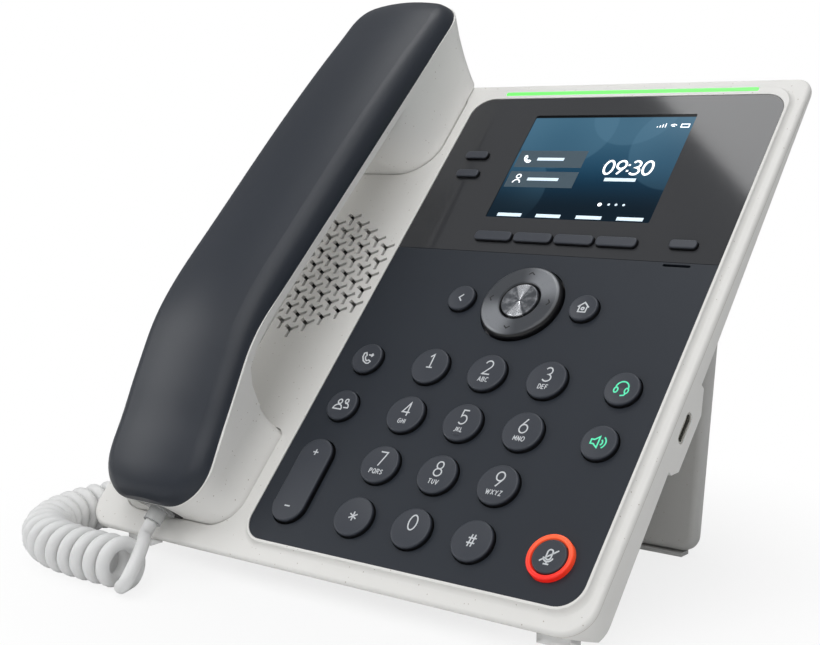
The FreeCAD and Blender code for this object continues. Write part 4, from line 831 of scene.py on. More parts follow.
LETTERS: dict[str, Lines] = {
    "0": [ring(0.3, 0.5, 0.29, 0.5)],
    "1": [[(0.08, 0.8), (0.32, 1), (0.32, 0)], [(0.08, 0), (0.54, 0)]],
    "2": [bow(0.3, 0.72, 0.27, 0.28, 165, -38) + [(0.03, 0), (0.58, 0)]],
    "3": [bow(0.27, 0.755, 0.24, 0.245, 150, -90) + bow(0.27, 0.26, 0.29, 0.26, 90, -150)[1:]],
    "4": [[(0.42, 0), (0.42, 1), (0, 0.27), (0.6, 0.27)]],
    "5": [[(0.52, 1), (0.13, 1), (0.09, 0.53)] + bow(0.28, 0.32, 0.29, 0.32, 125, -140)],
    "6": [ring(0.3, 0.3, 0.28, 0.3), [(0.055, 0.45), (0.42, 1)]],
    "7": [[(0.03, 1), (0.57, 1), (0.2, 0)]],
    "8": [ring(0.3, 0.755, 0.23, 0.245), ring(0.3, 0.26, 0.28, 0.26)],
    "9": [ring(0.3, 0.7, 0.28, 0.3), [(0.545, 0.55), (0.18, 0)]],
    "*": [[(0.3, 0.18), (0.3, 0.82)], [(0.02, 0.34), (0.58, 0.66)], [(0.02, 0.66), (0.58, 0.34)]],
    "#": [
        [(0.16, 0.1), (0.24, 0.9)],
        [(0.38, 0.1), (0.46, 0.9)],
        [(0.02, 0.34), (0.58, 0.34)],
        [(0.04, 0.66), (0.6, 0.66)],
    ],
    "+": [[(0.3, 0.2), (0.3, 0.8)], [(0, 0.5), (0.6, 0.5)]],
    "-": [[(0, 0.5), (0.6, 0.5)]],
    ":": [[(0.1, 0.2), (0.1, 0.32)], [(0.1, 0.64), (0.1, 0.76)]],
    "A": [[(0, 0), (0.3, 1), (0.6, 0)], [(0.11, 0.36), (0.49, 0.36)]],
    "B": [
        [(0.06, 0.53), (0.4, 0.53), (0.52, 0.77), (0.38, 1), (0.06, 1), (0.06, 0), (0.42, 0)]
        + [(0.56, 0.27), (0.4, 0.53)]
    ],
    "C": [bow(0.33, 0.5, 0.33, 0.5, 50, 310)],
    "D": [[(0.06, 0), (0.06, 1), (0.32, 1), (0.56, 0.74), (0.56, 0.26), (0.32, 0), (0.06, 0)]],
    "E": [[(0.52, 1), (0.06, 1), (0.06, 0), (0.52, 0)], [(0.06, 0.52), (0.44, 0.52)]],
    "F": [[(0.52, 1), (0.06, 1), (0.06, 0)], [(0.06, 0.52), (0.44, 0.52)]],
    "G": [bow(0.33, 0.5, 0.33, 0.5, 50, 330) + [(0.62, 0.48), (0.36, 0.48)]],
    "H": [[(0.06, 0), (0.06, 1)], [(0.54, 0), (0.54, 1)], [(0.06, 0.52), (0.54, 0.52)]],
    "I": [[(0.2, 0), (0.2, 1)]],
    "J": [[(0.42, 1), (0.42, 0.25), (0.28, 0), (0.08, 0.1)]],
    "K": [[(0.06, 0), (0.06, 1)], [(0.52, 1), (0.06, 0.44)], [(0.2, 0.6), (0.56, 0)]],
    "L": [[(0.06, 1), (0.06, 0), (0.5, 0)]],
    "M": [[(0.02, 0), (0.08, 1), (0.35, 0.3), (0.62, 1), (0.68, 0)]],
    "N": [[(0.06, 0), (0.06, 1), (0.54, 0), (0.54, 1)]],
    "O": [ring(0.32, 0.5, 0.32, 0.5)],
    "P": [[(0.06, 0), (0.06, 1), (0.4, 1), (0.55, 0.75), (0.4, 0.5), (0.06, 0.5)]],
    "Q": [ring(0.32, 0.5, 0.32, 0.5), [(0.4, 0.28), (0.66, -0.04)]],
    "R": [[(0.06, 0), (0.06, 1), (0.4, 1), (0.55, 0.75), (0.4, 0.5), (0.06, 0.5)], [(0.3, 0.5), (0.58, 0)]],
    "S": [[(0.52, 0.84), (0.3, 1), (0.08, 0.8), (0.28, 0.54), (0.54, 0.25), (0.3, 0), (0.04, 0.16)]],
    "T": [[(0, 1), (0.6, 1)], [(0.3, 1), (0.3, 0)]],
    "U": [[(0.06, 1), (0.06, 0.25), (0.3, 0), (0.54, 0.25), (0.54, 1)]],
    "V": [[(0, 1), (0.3, 0), (0.6, 1)]],
    "W": [[(0, 1), (0.2, 0), (0.4, 0.85), (0.6, 0), (0.8, 1)]],
    "X": [[(0.02, 1), (0.56, 0)], [(0.56, 1), (0.02, 0)]],
    "Y": [[(0, 1), (0.3, 0.5), (0.6, 1)], [(0.3, 0.5), (0.3, 0)]],
    "Z": [[(0.04, 1), (0.54, 1), (0.04, 0), (0.56, 0)]],
}


def write(text: str, height: float, x: float, y: float, gap: float = 0.22) -> Lines:
    """Lay out a line of lettering about a point.

    Args:
        text: the characters.
        height: their height in millimetres.
        x: middle of the line.
        y: middle of its height.
        gap: space between characters as a share of the height.

    Returns:
        The strokes in millimetres.
    """
    strokes: Lines = []
    cursor = 0.0
    for character in text:
        shapes = LETTERS[character]
        low = min(px for shape in shapes for px, _ in shape)
        high = max(px for shape in shapes for px, _ in shape)
        for shape in shapes:
            strokes.append([(px - low + cursor, py) for px, py in shape])
        cursor += high - low + gap
    middle = (cursor - gap) / 2
    return [[(x + (px - middle) * height, y + (py - 0.5) * height) for px, py in shape] for shape in strokes]


HANDSET_SIGN: Lines = [
    [(-1.7, 1.6), (-1.0, 1.9), (-0.4, 0.9), (-0.8, 0.4), (-0.2, -0.6), (0.5, -1.0), (1.0, -0.6), (1.9, -1.1)]
    + [(1.5, -1.8), (0.6, -1.9), (-0.8, -1.1), (-1.7, 0.3), (-1.7, 1.6)]
]
TRANSFER: Lines = HANDSET_SIGN + [[(0.2, 1.2), (1.9, 1.2)], [(1.3, 1.8), (1.9, 1.2), (1.3, 0.6)]]
PEOPLE: Lines = [
    ring(-1.1, 1.0, 0.7, 0.75),
    bow(-1.1, -1.6, 1.5, 1.6, 180, 0) + [(-2.6, -1.6)],
    ring(1.3, 1.4, 0.6, 0.65),
    bow(1.4, -0.9, 1.3, 1.5, 110, 0) + [(1.0, -0.9)],
]
HEADSET: Lines = [
    bow(0.0, 0.2, 1.9, 2.0, 190, -10),
    ring(-1.6, -0.6, 0.55, 0.85),
    ring(1.6, -0.6, 0.55, 0.85),
    [(1.7, -1.4), (1.3, -2.1), (0.2, -2.3)],
]
LOUDSPEAKER: Lines = [
    [(-2.3, 0.65), (-1.4, 0.65), (-0.1, 1.7), (-0.1, -1.7), (-1.4, -0.65), (-2.3, -0.65), (-2.3, 0.65)],
    bow(0.1, 0.0, 1.0, 1.0, -55, 55, 8),
    bow(0.1, 0.0, 2.0, 2.0, -55, 55, 10),
]
MICROPHONE: Lines = [
    bow(0.0, 1.1, 0.75, 0.75, 0, 180) + bow(0.0, -0.3, 0.75, 0.75, 180, 360) + [(0.75, 1.1)],
    bow(0.0, -0.2, 1.4, 1.4, 190, 350),
    [(0.0, -1.6), (0.0, -2.3)],
    [(-0.8, -2.3), (0.8, -2.3)],
    [(-2.2, -1.7), (2.2, 1.9)],
]
BACK: Lines = [[(0.55, 1.25), (-0.65, 0.0), (0.55, -1.25)]]
HOUSE: Lines = [
    [(-1.8, 0.1), (0.0, 1.8), (1.8, 0.1)],
    [(-1.2, 0.5), (-1.2, -1.6), (1.2, -1.6), (1.2, 0.5)],
    ring(0.0, -0.4, 0.42, 0.42),
]


def moved(strokes: Iterable[list[Point]], x: float, y: float, size: float = 1.0) -> Lines:
    """Move and scale strokes."""
    return [[(x + px * size, y + py * size) for px, py in stroke] for stroke in strokes]


class Surface:
    """The outside of a solid as seen from in front of the face."""

    FAR = 90.0

    def __init__(self, node: str) -> None:
        """Keep a solid's faces for finding their height.

        Args:
            node: the solid's name.
        """
        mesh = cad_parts[node].data
        corners = [vertex.co.copy() for vertex in mesh.vertices]
        self.tree = BVHTree.FromPolygons(corners, [tuple(polygon.vertices) for polygon in mesh.polygons])

    def point(self, x: float, y: float, height: float) -> Vector:
        """Give a point over a place of the face.

        Args:
            x: distance to the right of the middle of the base.
            y: distance up the slope.
            height: how far it stands above the solid, in millimetres.

        Returns:
            The point in the row frame.
        """
        normal = FACE.normal()
        hit = self.tree.ray_cast(FACE.point(x, y, self.FAR), -normal)[0]
        return hit + normal * height * MM


class Strokes:
    """Flat strokes of even width laid on a surface as one closed mesh."""

    STEP = 0.6
    SHARPEST = 0.45
    CLOSE = 1e-6

    def __init__(self, node: str, thickness: float) -> None:
        """Start with no strokes.

        Args:
            node: the solid that they lie on.
            thickness: how far they stand above it in millimetres.
        """
        self.place = Surface(node).point
        self.thickness = thickness
        self.points: list[Vector] = []
        self.faces: list[list[int]] = []

    def _fine(self, stroke: Sequence[Point]) -> list[Point]:
        """Divide a stroke's long runs.

        Args:
            stroke: its middle line.

        Returns:
            The line with points close to each other.
        """
        line = [stroke[0]]
        for before, after in zip(stroke, stroke[1:]):
            parts = max(1, math.ceil(math.dist(before, after) / self.STEP))
            for part in range(1, parts + 1):
                share = part / parts
                x, y = (low + (high - low) * share for low, high in zip(before, after))
                line.append((x, y))
        return line

    def _sides(self, stroke: Sequence[Point], width: float, closed: bool) -> list[tuple[Point, Point]]:
        """Give the left and right edge of a stroke at each of its points.

        Args:
            stroke: its middle line.
            width: its width.
            closed: whether its end joins its start.

        Returns:
            Pairs of points.
        """
        count = len(stroke)
        sides = []
        for index, (x, y) in enumerate(stroke):
            before = stroke[index - 1] if index or closed else None
            after = stroke[(index + 1) % count] if index < count - 1 or closed else None
            headings = []
            if before is not None:
                headings.append(Vector((x - before[0], y - before[1])).normalized())
            if after is not None:
                headings.append(Vector((after[0] - x, after[1] - y)).normalized())
            heading = sum(headings, Vector((0.0, 0.0))).normalized()
            reach = width / 2 / max(self.SHARPEST, heading.dot(headings[0]))
            aside = Vector((-heading.y, heading.x)) * reach
            sides.append(((x + aside.x, y + aside.y), (x - aside.x, y - aside.y)))
        return sides

    def add(self, stroke: Sequence[Point], width: float) -> None:
        """Add one stroke; one that ends where it starts is closed.

        Args:
            stroke: its middle line in millimetres.
            width: its width in millimetres.
        """
        closed = math.dist(stroke[0], stroke[-1]) < self.CLOSE and len(stroke) > 3
        line = self._fine(stroke)
        line = line[:-1] if closed else line
        first = len(self.points)
        for left, right in self._sides(line, width, closed):
            for level in (self.thickness, -self.thickness):
                self.points.append(self.place(*left, level))
                self.points.append(self.place(*right, level))
        links = len(line) if closed else len(line) - 1
        for index in range(links):
            a = first + 4 * index
            b = first + 4 * ((index + 1) % len(line))
            self.faces += [
                [a, a + 1, b + 1, b],
                [a + 2, b + 2, b + 3, a + 3],
                [a, b, b + 2, a + 2],
                [a + 1, a + 3, b + 3, b + 1],
            ]
        if not closed:
            last = first + 4 * (len(line) - 1)
            self.faces.append([first, first + 2, first + 3, first + 1])
            self.faces.append([last, last + 1, last + 3, last + 2])


def lay(
    name: str, node: str, groups: Groups, finish: Finish, body: str, thickness: float
) -> None:
    """Lay strokes on a solid as one piece.

    Args:
        name: the piece's name.
        node: the solid.
        groups: groups of strokes with their width.
        finish: the piece's finish.
        body: the body it moves with.
        thickness: how far the strokes stand above the solid in millimetres.
    """
    strokes = Strokes(node, thickness)
    for lines, width in groups:
        for line in lines:
            strokes.add(line, width)
    new_piece(name, strokes.points, strokes.faces, finish, body)


@dataclass
class Keys:
    """The keys' finish and their printed signs."""

    columns: Triple = (10.0, 30.0, 50.0)
    rows: tuple[float, float, float, float] = (70.36, 53.12, 35.88, 18.64)
    left: float = -13.7
    right: float = 73.7
    digit_height: float = 4.5
    digit_rise: float = 1.65
    letter_height: float = 1.45
    letter_drop: float = 2.45
    stroke: float = 0.40
    thin: float = 0.24
    sign_stroke: float = 0.42
    print_thickness: float = 0.03
    letter_gap: float = 0.3
    nib_drop: float = 4.2
    nib_length: float = 2.2
    nib_half: float = 0.32
    nib_height: float = 0.3
    nib_sink: float = 0.05
    nib_taper: float = 0.06
    nib_fullness: float = 0.4
    nib_sections: int = 9
    nib_corners: int = 7
    back_place: Point = (8.8, 95.7)
    home_place: Point = (51.2, 95.7)
    rocker_sign: float = 3.2
    louder_y: float = 36.0
    softer_y: float = 17.6
    nav_centre: Point = (30.0, 95.9)
    nav_height: float = 2.0
    nav_reach: float = 9.9
    arrow_depth: float = 0.4
    arrow_half: float = 1.0
    names: tuple[str, ...] = ("1", "2", "3", "4", "5", "6", "7", "8", "9", "star", "0", "hash")
    letters: tuple[str, ...] = ("", "ABC", "DEF", "GHI", "JKL", "MNO", "PQRS", "TUV", "WXYZ", "", "", "")

    def build(self) -> None:
        """Dress the keys and print their signs."""
        caps = [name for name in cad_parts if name.startswith(("key_", "soft_key", "line_key"))]
        caps.remove("key_select")
        dress(KEY, *caps, "volume_rocker")
        middle = (*self.nav_centre, self.nav_height)
        dress(SatinCap("nav_satin", centre=middle), "nav_ring")
        dress(Spun("select_metal", middle), "key_select")
        self.dial()
        self.signs()
        self.navigation()

    def sign(self, node: str, groups: Groups, finish: Finish) -> None:
        """Print groups of strokes on one key, which is also its body's name."""
        lay(f"{node}_sign", node, groups, finish, node, self.print_thickness)

    def dial(self) -> None:
        """Print the twelve dial keys."""
        for index, (name, letters) in enumerate(zip(self.names, self.letters)):
            x = self.columns[index % 3]
            y = self.rows[index // 3]
            text = {"star": "*", "hash": "#"}.get(name, name)
            rise = self.digit_rise if text.isdigit() else 0.0
            parts = [(write(text, self.digit_height, x, y + rise), self.stroke)]
            if letters:
                line = write(letters, self.letter_height, x, y - self.letter_drop, self.letter_gap)
                parts.append((line, self.thin))
            self.sign(f"key_{name}", parts, LEGEND)
        self.nib()

    def nib(self) -> None:
        """Raise the bar that fingers find on the middle key."""
        surface = Surface("key_5")
        middle = self.columns[1], self.rows[1] - self.nib_drop
        points: list[Vector] = []
        for section in range(self.nib_sections):
            share = section / (self.nib_sections - 1)
            turn = math.pi * (self.nib_taper + (1.0 - 2 * self.nib_taper) * share)
            swell = math.sin(turn) ** self.nib_fullness
            for corner in range(self.nib_corners):
                angle = math.pi * corner / (self.nib_corners - 1)
                x = middle[0] + (share - 0.5) * self.nib_length
                y = middle[1] - math.cos(angle) * self.nib_half * swell
                height = self.nib_height * math.sin(angle) * swell - self.nib_sink
                points.append(surface.point(x, y, height))
        faces = [face[::-1] for face in tube_faces(self.nib_sections, self.nib_corners)]
        piece = new_piece("key_5_nib", points, faces, KEY, "key_5")
        piece.data.shade_smooth()

    def signs(self) -> None:
        """Print the keys around the dial."""
        for node, place, strokes, finish, slot in (
            ("key_transfer", (self.left, self.rows[0]), TRANSFER, LEGEND, Slot.SHELL),
            ("key_conference", (self.left, self.rows[1]), PEOPLE, LEGEND, Slot.SHELL),
            ("key_headset", (self.right, self.rows[0]), HEADSET, LEGEND_GREEN, Slot.GREEN),
            ("key_speaker", (self.right, self.rows[1]), LOUDSPEAKER, LEGEND_GREEN, Slot.GREEN),
            ("key_mute", (self.right, self.rows[3]), MICROPHONE, LEGEND, Slot.SHELL),
            ("key_back", self.back_place, BACK, LEGEND, Slot.SHELL),
            ("key_home", self.home_place, HOUSE, LEGEND, Slot.SHELL),
        ):
            self.sign(node, [(moved(strokes, *place), self.sign_stroke)], finish)
        rocker = write("+", self.rocker_sign, self.left, self.louder_y)
        rocker += write("-", self.rocker_sign, self.left, self.softer_y)
        self.sign("volume_rocker", [(rocker, self.stroke)], LEGEND)

    def navigation(self) -> None:
        """Print the four arrows on the navigation ring."""
        x, y = self.nav_centre
        strokes = []
        for quarter in range(4):
            turn = math.radians(90.0 * quarter)
            cos, sin = math.cos(turn), math.sin(turn)
            near, far = self.nav_reach - self.arrow_depth, self.nav_reach + self.arrow_depth
            arrow = [(near, -self.arrow_half), (far, 0.0), (near, self.arrow_half)]
            strokes.append([(x + cos * px - sin * py, y + sin * px + cos * py) for px, py in arrow])
        self.sign("nav_ring", [(strokes, self.stroke)], NAV_SIGN)


@dataclass
class Screen:
    """The lit screen's own contents: plain bars, dots and a clock."""

    centre: Point = (30.0, 150.5)
    height: float = -0.15
    rise: float = 0.04
    bar_rise: float = 0.02
    bars: tuple[Box, ...] = ((2.1, 149.8, 27.0, 156.9), (2.1, 141.4, 27.2, 148.0))
    words: tuple[Box, ...] = (
        (9.6, 152.7, 19.5, 153.9),
        (9.6, 144.2, 21.0, 145.4),
        (37.2, 144.6, 48.0, 145.9),
    )
    name_middles: tuple[float, ...] = (9.6, 23.7, 38.0, 52.0)
    name_half: float = 4.4
    name_span: Point = (129.3, 130.6)
    clock_place: Point = (43.6, 150.2)
    clock_height: float = 5.4
    clock_gap: float = 0.2
    clock_stroke: float = 0.75
    dot_place: Point = (39.7, 135.2)
    dot_half: float = 0.35
    dim_places: tuple[Point, ...] = ((42.8, 135.3), (45.3, 135.3), (47.9, 135.3))
    dim_half: float = 0.22
    sign_x: float = 5.9
    sign_stroke: float = 0.4
    call_y: float = 153.3
    call_size: float = 0.75
    head: Point = (145.9, 0.8)
    shoulders: Point = (143.2, 1.3)
    status_stroke: float = 0.34
    steps_place: Point = (47.0, 166.9)
    steps_apart: float = 0.9
    steps_heights: tuple[float, ...] = (0.5, 0.9, 1.3, 1.7)
    waves_place: Point = (52.4, 166.8)
    waves: Point = (0.7, 1.4)
    cell: Box = (55.0, 167.0, 57.6, 168.3)

    def build(self) -> None:
        """Dress the screen and lay its contents on it."""
        dress(Lcd("screen_glass", (*self.centre, self.height)), "lcd_module")
        for index, box in enumerate(self.bars):
            self.patches(f"screen_bar_{index + 1}", [box], PIXEL_BAR, self.bar_rise)
        self.patches("screen_words", self.words, PIXEL_SOFT, self.rise)
        low, high = self.name_span
        names = [(x - self.name_half, low, x + self.name_half, high) for x in self.name_middles]
        self.patches("screen_key_names", names, PIXEL_SOFT, self.rise)
        clock = write("09:30", self.clock_height, *self.clock_place, self.clock_gap)
        self.draw("screen_clock", clock, self.clock_stroke, PIXEL)
        self.dots("screen_dots", [self.dot_place], self.dot_half, PIXEL)
        self.dots("screen_dots_dim", self.dim_places, self.dim_half, PIXEL_SOFT)
        signs = moved(HANDSET_SIGN, self.sign_x, self.call_y, self.call_size)
        y, reach = self.head
        signs.append(ring(self.sign_x, y, reach, reach))
        y, reach = self.shoulders
        signs.append(bow(self.sign_x, y, reach, reach, 180, 0))
        self.draw("screen_signs", signs, self.sign_stroke, PIXEL)
        self.draw("screen_status", self.status(), self.status_stroke, PIXEL)

    def status(self) -> Lines:
        """Give the strokes of the small signs in the top corner."""
        strokes = []
        x, y = self.steps_place
        for index, height in enumerate(self.steps_heights):
            along = x + self.steps_apart * index
            strokes.append([(along, y), (along, y + height)])
        strokes += [bow(*self.waves_place, reach, reach, 45, 135, 6) for reach in self.waves]
        left, low, right, high = self.cell
        return strokes + [[(left, low), (right, low), (right, high), (left, high), (left, low)]]

    def dots(self, name: str, places: Iterable[Point], half: float, finish: Finish) -> None:
        """Lay filled dots on the screen: rings of half their radius, with strokes that meet in the middle."""
        self.draw(name, [ring(x, y, half, half) for x, y in places], 2 * half, finish)

    def draw(self, name: str, strokes: Lines, width: float, finish: Finish) -> None:
        """Lay strokes of one width on the screen."""
        lay(name, "lcd_module", [(strokes, width)], finish, "base", self.rise)

    def patches(self, name: str, boxes: Iterable[Box], finish: Finish, thickness: float) -> None:
        """Lay plain bars on the screen.

        Args:
            name: the piece's name.
            boxes: left, low, right and high edge of each bar.
            finish: their finish.
            thickness: how far they stand above the glass.
        """
        surface = Surface("lcd_module")
        points: list[Vector] = []
        faces: list[list[int]] = []
        for x0, y0, x1, y1 in boxes:
            first = len(points)
            for level in (-thickness, thickness):
                points += [surface.point(x, y, level) for x, y in ((x0, y0), (x1, y0), (x1, y1), (x0, y1))]
            faces += [[first + corner for corner in face] for face in tube_faces(2, 4)]
        new_piece(name, points, faces, finish, "base")


@dataclass(frozen=True)
class Lamp:
    """Soft square lamp: where it hangs and points, its side, its power in watts and its spin in degrees."""

    name: str
    place: Triple
    aim: Triple
    side: float
    power: float
    spin: float = 0.0

    def hang(self) -> None:
        """Hang the lamp and point it."""
        data = bpy.data.lights.new(self.name, "AREA")
        data.size = self.side
        data.energy = self.power
        heading = (Vector(self.aim) - Vector(self.place)).to_track_quat("-Z", "Y").to_matrix().to_4x4()
        spin = Matrix.Rotation(math.radians(self.spin), 4, "Z")
        put(self.name, data).matrix_world = Matrix.Translation(self.place) @ heading @ spin


@dataclass
class Studio:
    """Camera, floor, backdrop and lamps."""

    eye: Triple = (0.2583, -0.34865, 0.1266)
    right: Triple = (0.79408, 0.60781, 0.0)
    forward: Triple = (-0.60280, 0.78754, -0.12814)
    lens: float = 63.17
    sensor: float = 36.0
    nearest: float = 0.01
    floor_size: float = 12.0
    floor_colour: Colour = (0.86, 0.86, 0.86)
    floor_share: float = 0.24
    floor_fade: Point = (0.05, 0.17)
    room_colour: Colour = (0.96, 0.98, 1.0)
    room_low: float = 0.32
    room_high: float = 0.40
    room_way: Triple = (0.0, 0.25, 0.968)
    room_rise: Point = (0.40, 0.95)
    lamps: tuple[Lamp, ...] = (
        Lamp("overhead", (-0.305, 0.125, 1.29), (-0.305, 0.125, 0.0), 0.50, 3.1, 44.4),
        Lamp("left", (-1.00, -0.62, 0.62), (0.0, 0.0, 0.07), 0.60, 3.0),
        Lamp("front", (0.30, -0.90, 1.20), (0.0, 0.0, 0.06), 1.60, 12.0),
    )

    def build(self) -> None:
        """Set up the whole studio."""
        self.camera()
        self.floor()
        self.world()
        for lamp in self.lamps:
            lamp.hang()

    def camera(self) -> None:
        """Stand the camera where the photograph was taken from."""
        data = bpy.data.cameras.new("camera")
        data.sensor_fit = "HORIZONTAL"
        data.sensor_width = self.sensor
        data.lens = self.lens
        data.clip_start = self.nearest
        camera = put("camera", data)
        right = Vector(self.right).normalized()
        back = -Vector(self.forward).normalized()
        up = back.cross(right)
        turn = Matrix((right, up, back)).transposed()
        camera.matrix_world = Matrix.Translation(self.eye) @ turn.to_4x4()
        bpy.context.scene.camera = camera

    def floor(self) -> None:
        """Lay a pale floor that shows white to the camera and keeps a faint shadow."""
        half = self.floor_size / 2
        mesh = bpy.data.meshes.new("floor")
        corners = [(-half, -half, 0), (half, -half, 0), (half, half, 0), (-half, half, 0)]
        mesh.from_pydata(corners, [], [(0, 1, 2, 3)])
        floor = put("floor", mesh)
        graph = Graph("floor_white")
        lit = graph.add("ShaderNodeBsdfDiffuse", {"Color": (*self.floor_colour, 1.0)})
        plain = graph.add("ShaderNodeEmission", {"Color": WHITE, "Strength": 1.0})
        path = graph.add("ShaderNodeLightPath")
        seen = graph.out(path, "Is Camera Ray") + graph.out(path, "Is Transmission Ray")
        near = 1.0 - graph.distance((0.0, 0.0, 0.0)).smooth(*self.floor_fade)
        share = seen.smooth(0.0, 1.0) * (1.0 - near * self.floor_share)
        graph.blend(share, lit, plain, Output.MATERIAL)
        mesh.materials.append(graph.material)

    def world(self) -> None:
        """Light the room softly, a little more from above, and show white to the camera."""
        world = bpy.data.worlds.new("room")
        world.use_nodes = True
        graph = Graph("room", world)
        aloft = graph.along(self.room_way, graph.out(graph.add("ShaderNodeTexCoord"), "Generated"))
        level = self.room_low + aloft.smooth(*self.room_rise) * (self.room_high - self.room_low)
        room = graph.add("ShaderNodeBackground", {"Color": (*self.room_colour, 1.0), "Strength": level})
        plain = graph.add("ShaderNodeBackground", {"Color": WHITE, "Strength": 1.0})
        path = graph.add("ShaderNodeLightPath")
        graph.blend(graph.out(path, "Is Camera Ray"), room, plain, Output.WORLD)
        bpy.context.scene.world = world
        bpy.context.scene.view_settings.view_transform = "Standard"


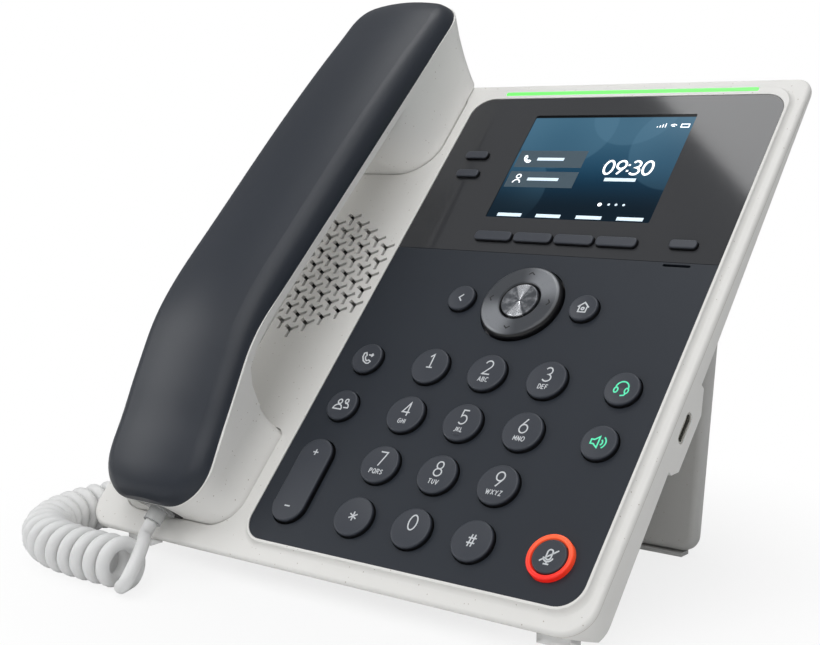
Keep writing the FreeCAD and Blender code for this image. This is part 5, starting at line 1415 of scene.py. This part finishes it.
@dataclass
class Cord:
    """Curly handset cord: a straight tail, a coil on the desk, and a tail up to the back."""

    strand: float = 4.0
    coil: float = 15.0
    pitch: float = 5.4
    close_run: float = 22.0
    close_stretch: float = 0.6
    sides: int = 14
    steps_per_turn: int = 30
    apart: float = 0.05
    front_edge: float = -62.0
    tail: tuple[Triple, ...] = (
        (-50.8, -10.0, 10.2),
        (-44.6, -15.8, 12.3),
        (-38.8, -23.6, 9.8),
        (-36.6, -30.2, 4.6),
    )
    axis_height: float = 7.6
    axis: tuple[Point, ...] = (
        (-43.0, -23.6),
        (-59.0, -24.2),
        (-75.0, -23.2),
        (-88.5, -16.6),
        (-97.0, -4.1),
        (-99.6, 10.9),
        (-97.0, 25.9),
        (-87.5, 38.9),
        (-72.5, 46.4),
        (-56.0, 47.9),
    )
    climb: tuple[Triple, ...] = ((-47.4, 48.7, 7.6), (-39.3, 46.3, 11.9), (-35.1, 42.9, 21.1))
    axis_resolution: int = 24
    tail_resolution: int = 12
    handset_plug: Triple = (-57.0, 2.4, 4.2)
    base_plug: Triple = (-32.0, 56.0, -17.0)
    plug_run: float = 5.2
    climb_run: float = 10.0

    def on_desk(self, points: Iterable[Triple]) -> list[Vector]:
        """Give route points in metres of the row frame."""
        return [Vector((x, y + self.front_edge, z)) * MM for x, y, z in points]

    def smooth_line(self, name: str, points: Sequence[Vector], resolution: int) -> list[Vector]:
        """Read points along the smooth line of a route.

        Args:
            name: a name for the line.
            points: the route's points.
            resolution: points per stretch.

        Returns:
            The points of its NURBS spline.
        """
        data = bpy.data.curves.new(name, "CURVE")
        data.dimensions = "3D"
        spline = data.splines.new("NURBS")
        spline.points.add(len(points) - 1)
        for knot, point in zip(spline.points, points):
            knot.co = (*point, 1.0)
        spline.order_u = 3
        spline.use_endpoint_u = True
        spline.resolution_u = resolution
        holder = put(name, data)
        bpy.context.view_layer.update()
        mesh = bpy.data.meshes.new_from_object(holder.evaluated_get(bpy.context.evaluated_depsgraph_get()))
        line = [vertex.co.copy() for vertex in mesh.vertices]
        bpy.data.objects.remove(holder)
        bpy.data.curves.remove(data)
        bpy.data.meshes.remove(mesh)
        return line

    def helix(self) -> list[Vector]:
        """Wind the strand round the coil's axis from below, closing in on the axis at the far end."""
        axis = [(x, y, self.axis_height) for x, y in self.axis]
        line = self.smooth_line("coil_axis", self.on_desk(axis), self.axis_resolution)
        runs = [0.0]
        for before, after in zip(line, line[1:]):
            runs.append(runs[-1] + (after - before).length)
        radius = (self.coil - self.strand) / 2 * MM
        count = round(runs[-1] / (self.pitch * MM)) * self.steps_per_turn
        points = []
        place = 0
        angle = -math.pi / 2
        for step in range(count + 1):
            distance = runs[-1] * step / count
            while place < len(line) - 2 and runs[place + 1] < distance:
                place += 1
            share = (distance - runs[place]) / (runs[place + 1] - runs[place])
            centre = line[place].lerp(line[place + 1], share)
            ahead = line[min(place + 2, len(line) - 1)] - line[max(place - 1, 0)]
            aside = Vector((0.0, 0.0, 1.0)).cross(ahead.normalized())
            closing = max(0.0, 1.0 - (runs[-1] - distance) / (self.close_run * MM))
            closing = closing * closing * (3.0 - 2.0 * closing)
            reach = radius * (1.0 - closing)
            points.append(centre + reach * (math.cos(angle) * aside + Vector((0, 0, math.sin(angle)))))
            angle -= 2 * math.pi / self.steps_per_turn * (1.0 - self.close_stretch * closing)
        return points

    def path(self) -> list[Vector]:
        """Give the whole strand's middle line, from the handset's plug to the base's plug."""
        x, y, z = self.handset_plug
        helix = self.helix()
        leave = (helix[1] - helix[0]).normalized()
        start = [FACE.point(x, y, z), FACE.point(x, y - self.plug_run, z)]
        start += self.on_desk(self.tail) + [helix[0] - leave * self.strand * MM, helix[0]]
        x, y, z = self.base_plug
        end = [helix[-1]] + self.on_desk(self.climb)
        end += [FACE.point(x, y - self.climb_run, z), FACE.point(x, y, z)]
        first = self.smooth_line("handset_tail", start, self.tail_resolution)
        last = self.smooth_line("base_tail", end, self.tail_resolution)
        line = first + helix + last
        pairs = zip(line, line[1:])
        return [line[0]] + [after for before, after in pairs if (after - before).length > self.apart * MM]

    def build(self) -> None:
        path = self.path()
        length = sum((after - before).length for before, after in zip(path, path[1:]))
        points: list[Vector] = []
        aside = Vector((1.0, 0.0, 0.0))
        for index, centre in enumerate(path):
            ahead = (path[min(index + 1, len(path) - 1)] - path[max(index - 1, 0)]).normalized()
            aside = (aside - ahead * aside.dot(ahead)).normalized()
            other = ahead.cross(aside)
            for side in range(self.sides):
                angle = 2 * math.pi * side / self.sides
                spoke = math.cos(angle) * aside + math.sin(angle) * other
                points.append(centre + self.strand / 2 * MM * spoke)
        faces = tube_faces(len(path), self.sides)
        piece = new_piece("curly_cord", points, faces, CORD, "base")
        piece.data.shade_smooth()
        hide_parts("cord_coil", "cord_tail_handset", "cord_tail_base")
        log.info("cord of %.3f m", length)


def main() -> None:
    """Build the phone's looks piece by piece."""
    logging.basicConfig(level=logging.INFO, format="%(name)s: %(message)s")
    Studio().build()
    dress(SHELL, "front_housing", "rear_housing")
    dress(HANDSET_SHELL, "handset_inner_shell")
    dress(SHADED_STAND_SHELL, "stand")
    dress(PANEL, "keypad_panel")
    dress(WINDOW, "display_window")
    dress(LIGHT_GREEN, "light_bar")
    dress(LIGHT_RED, "mute_ring")
    dress(HANDSET, "handset_outer_shell")
    dress(BLACK, "network_jacks", "audio_jacks", "handset_jack")
    dress(BLACK, "loudspeaker", "handset_receiver", "nav_gimbal")
    dress(RUBBER, "stand_feet")
    dress(SILICONE, "front_feet")
    dress(MEMBRANE, "keypad_membrane")
    dress(BOARD, "main_board")
    dress(STEEL, "housing_screws", "stand_hinge_pins", "hook_magnet")
    dress(SOCKET_STEEL, "usb_c_socket", "handset_microphone")
    dress(IRON, "handset_ballast")
    dress(PLUG, "cord_plug_base", "cord_plug_handset")
    Keys().build()
    Screen().build()
    Cord().build()


if __name__ == "__main__":
    main()
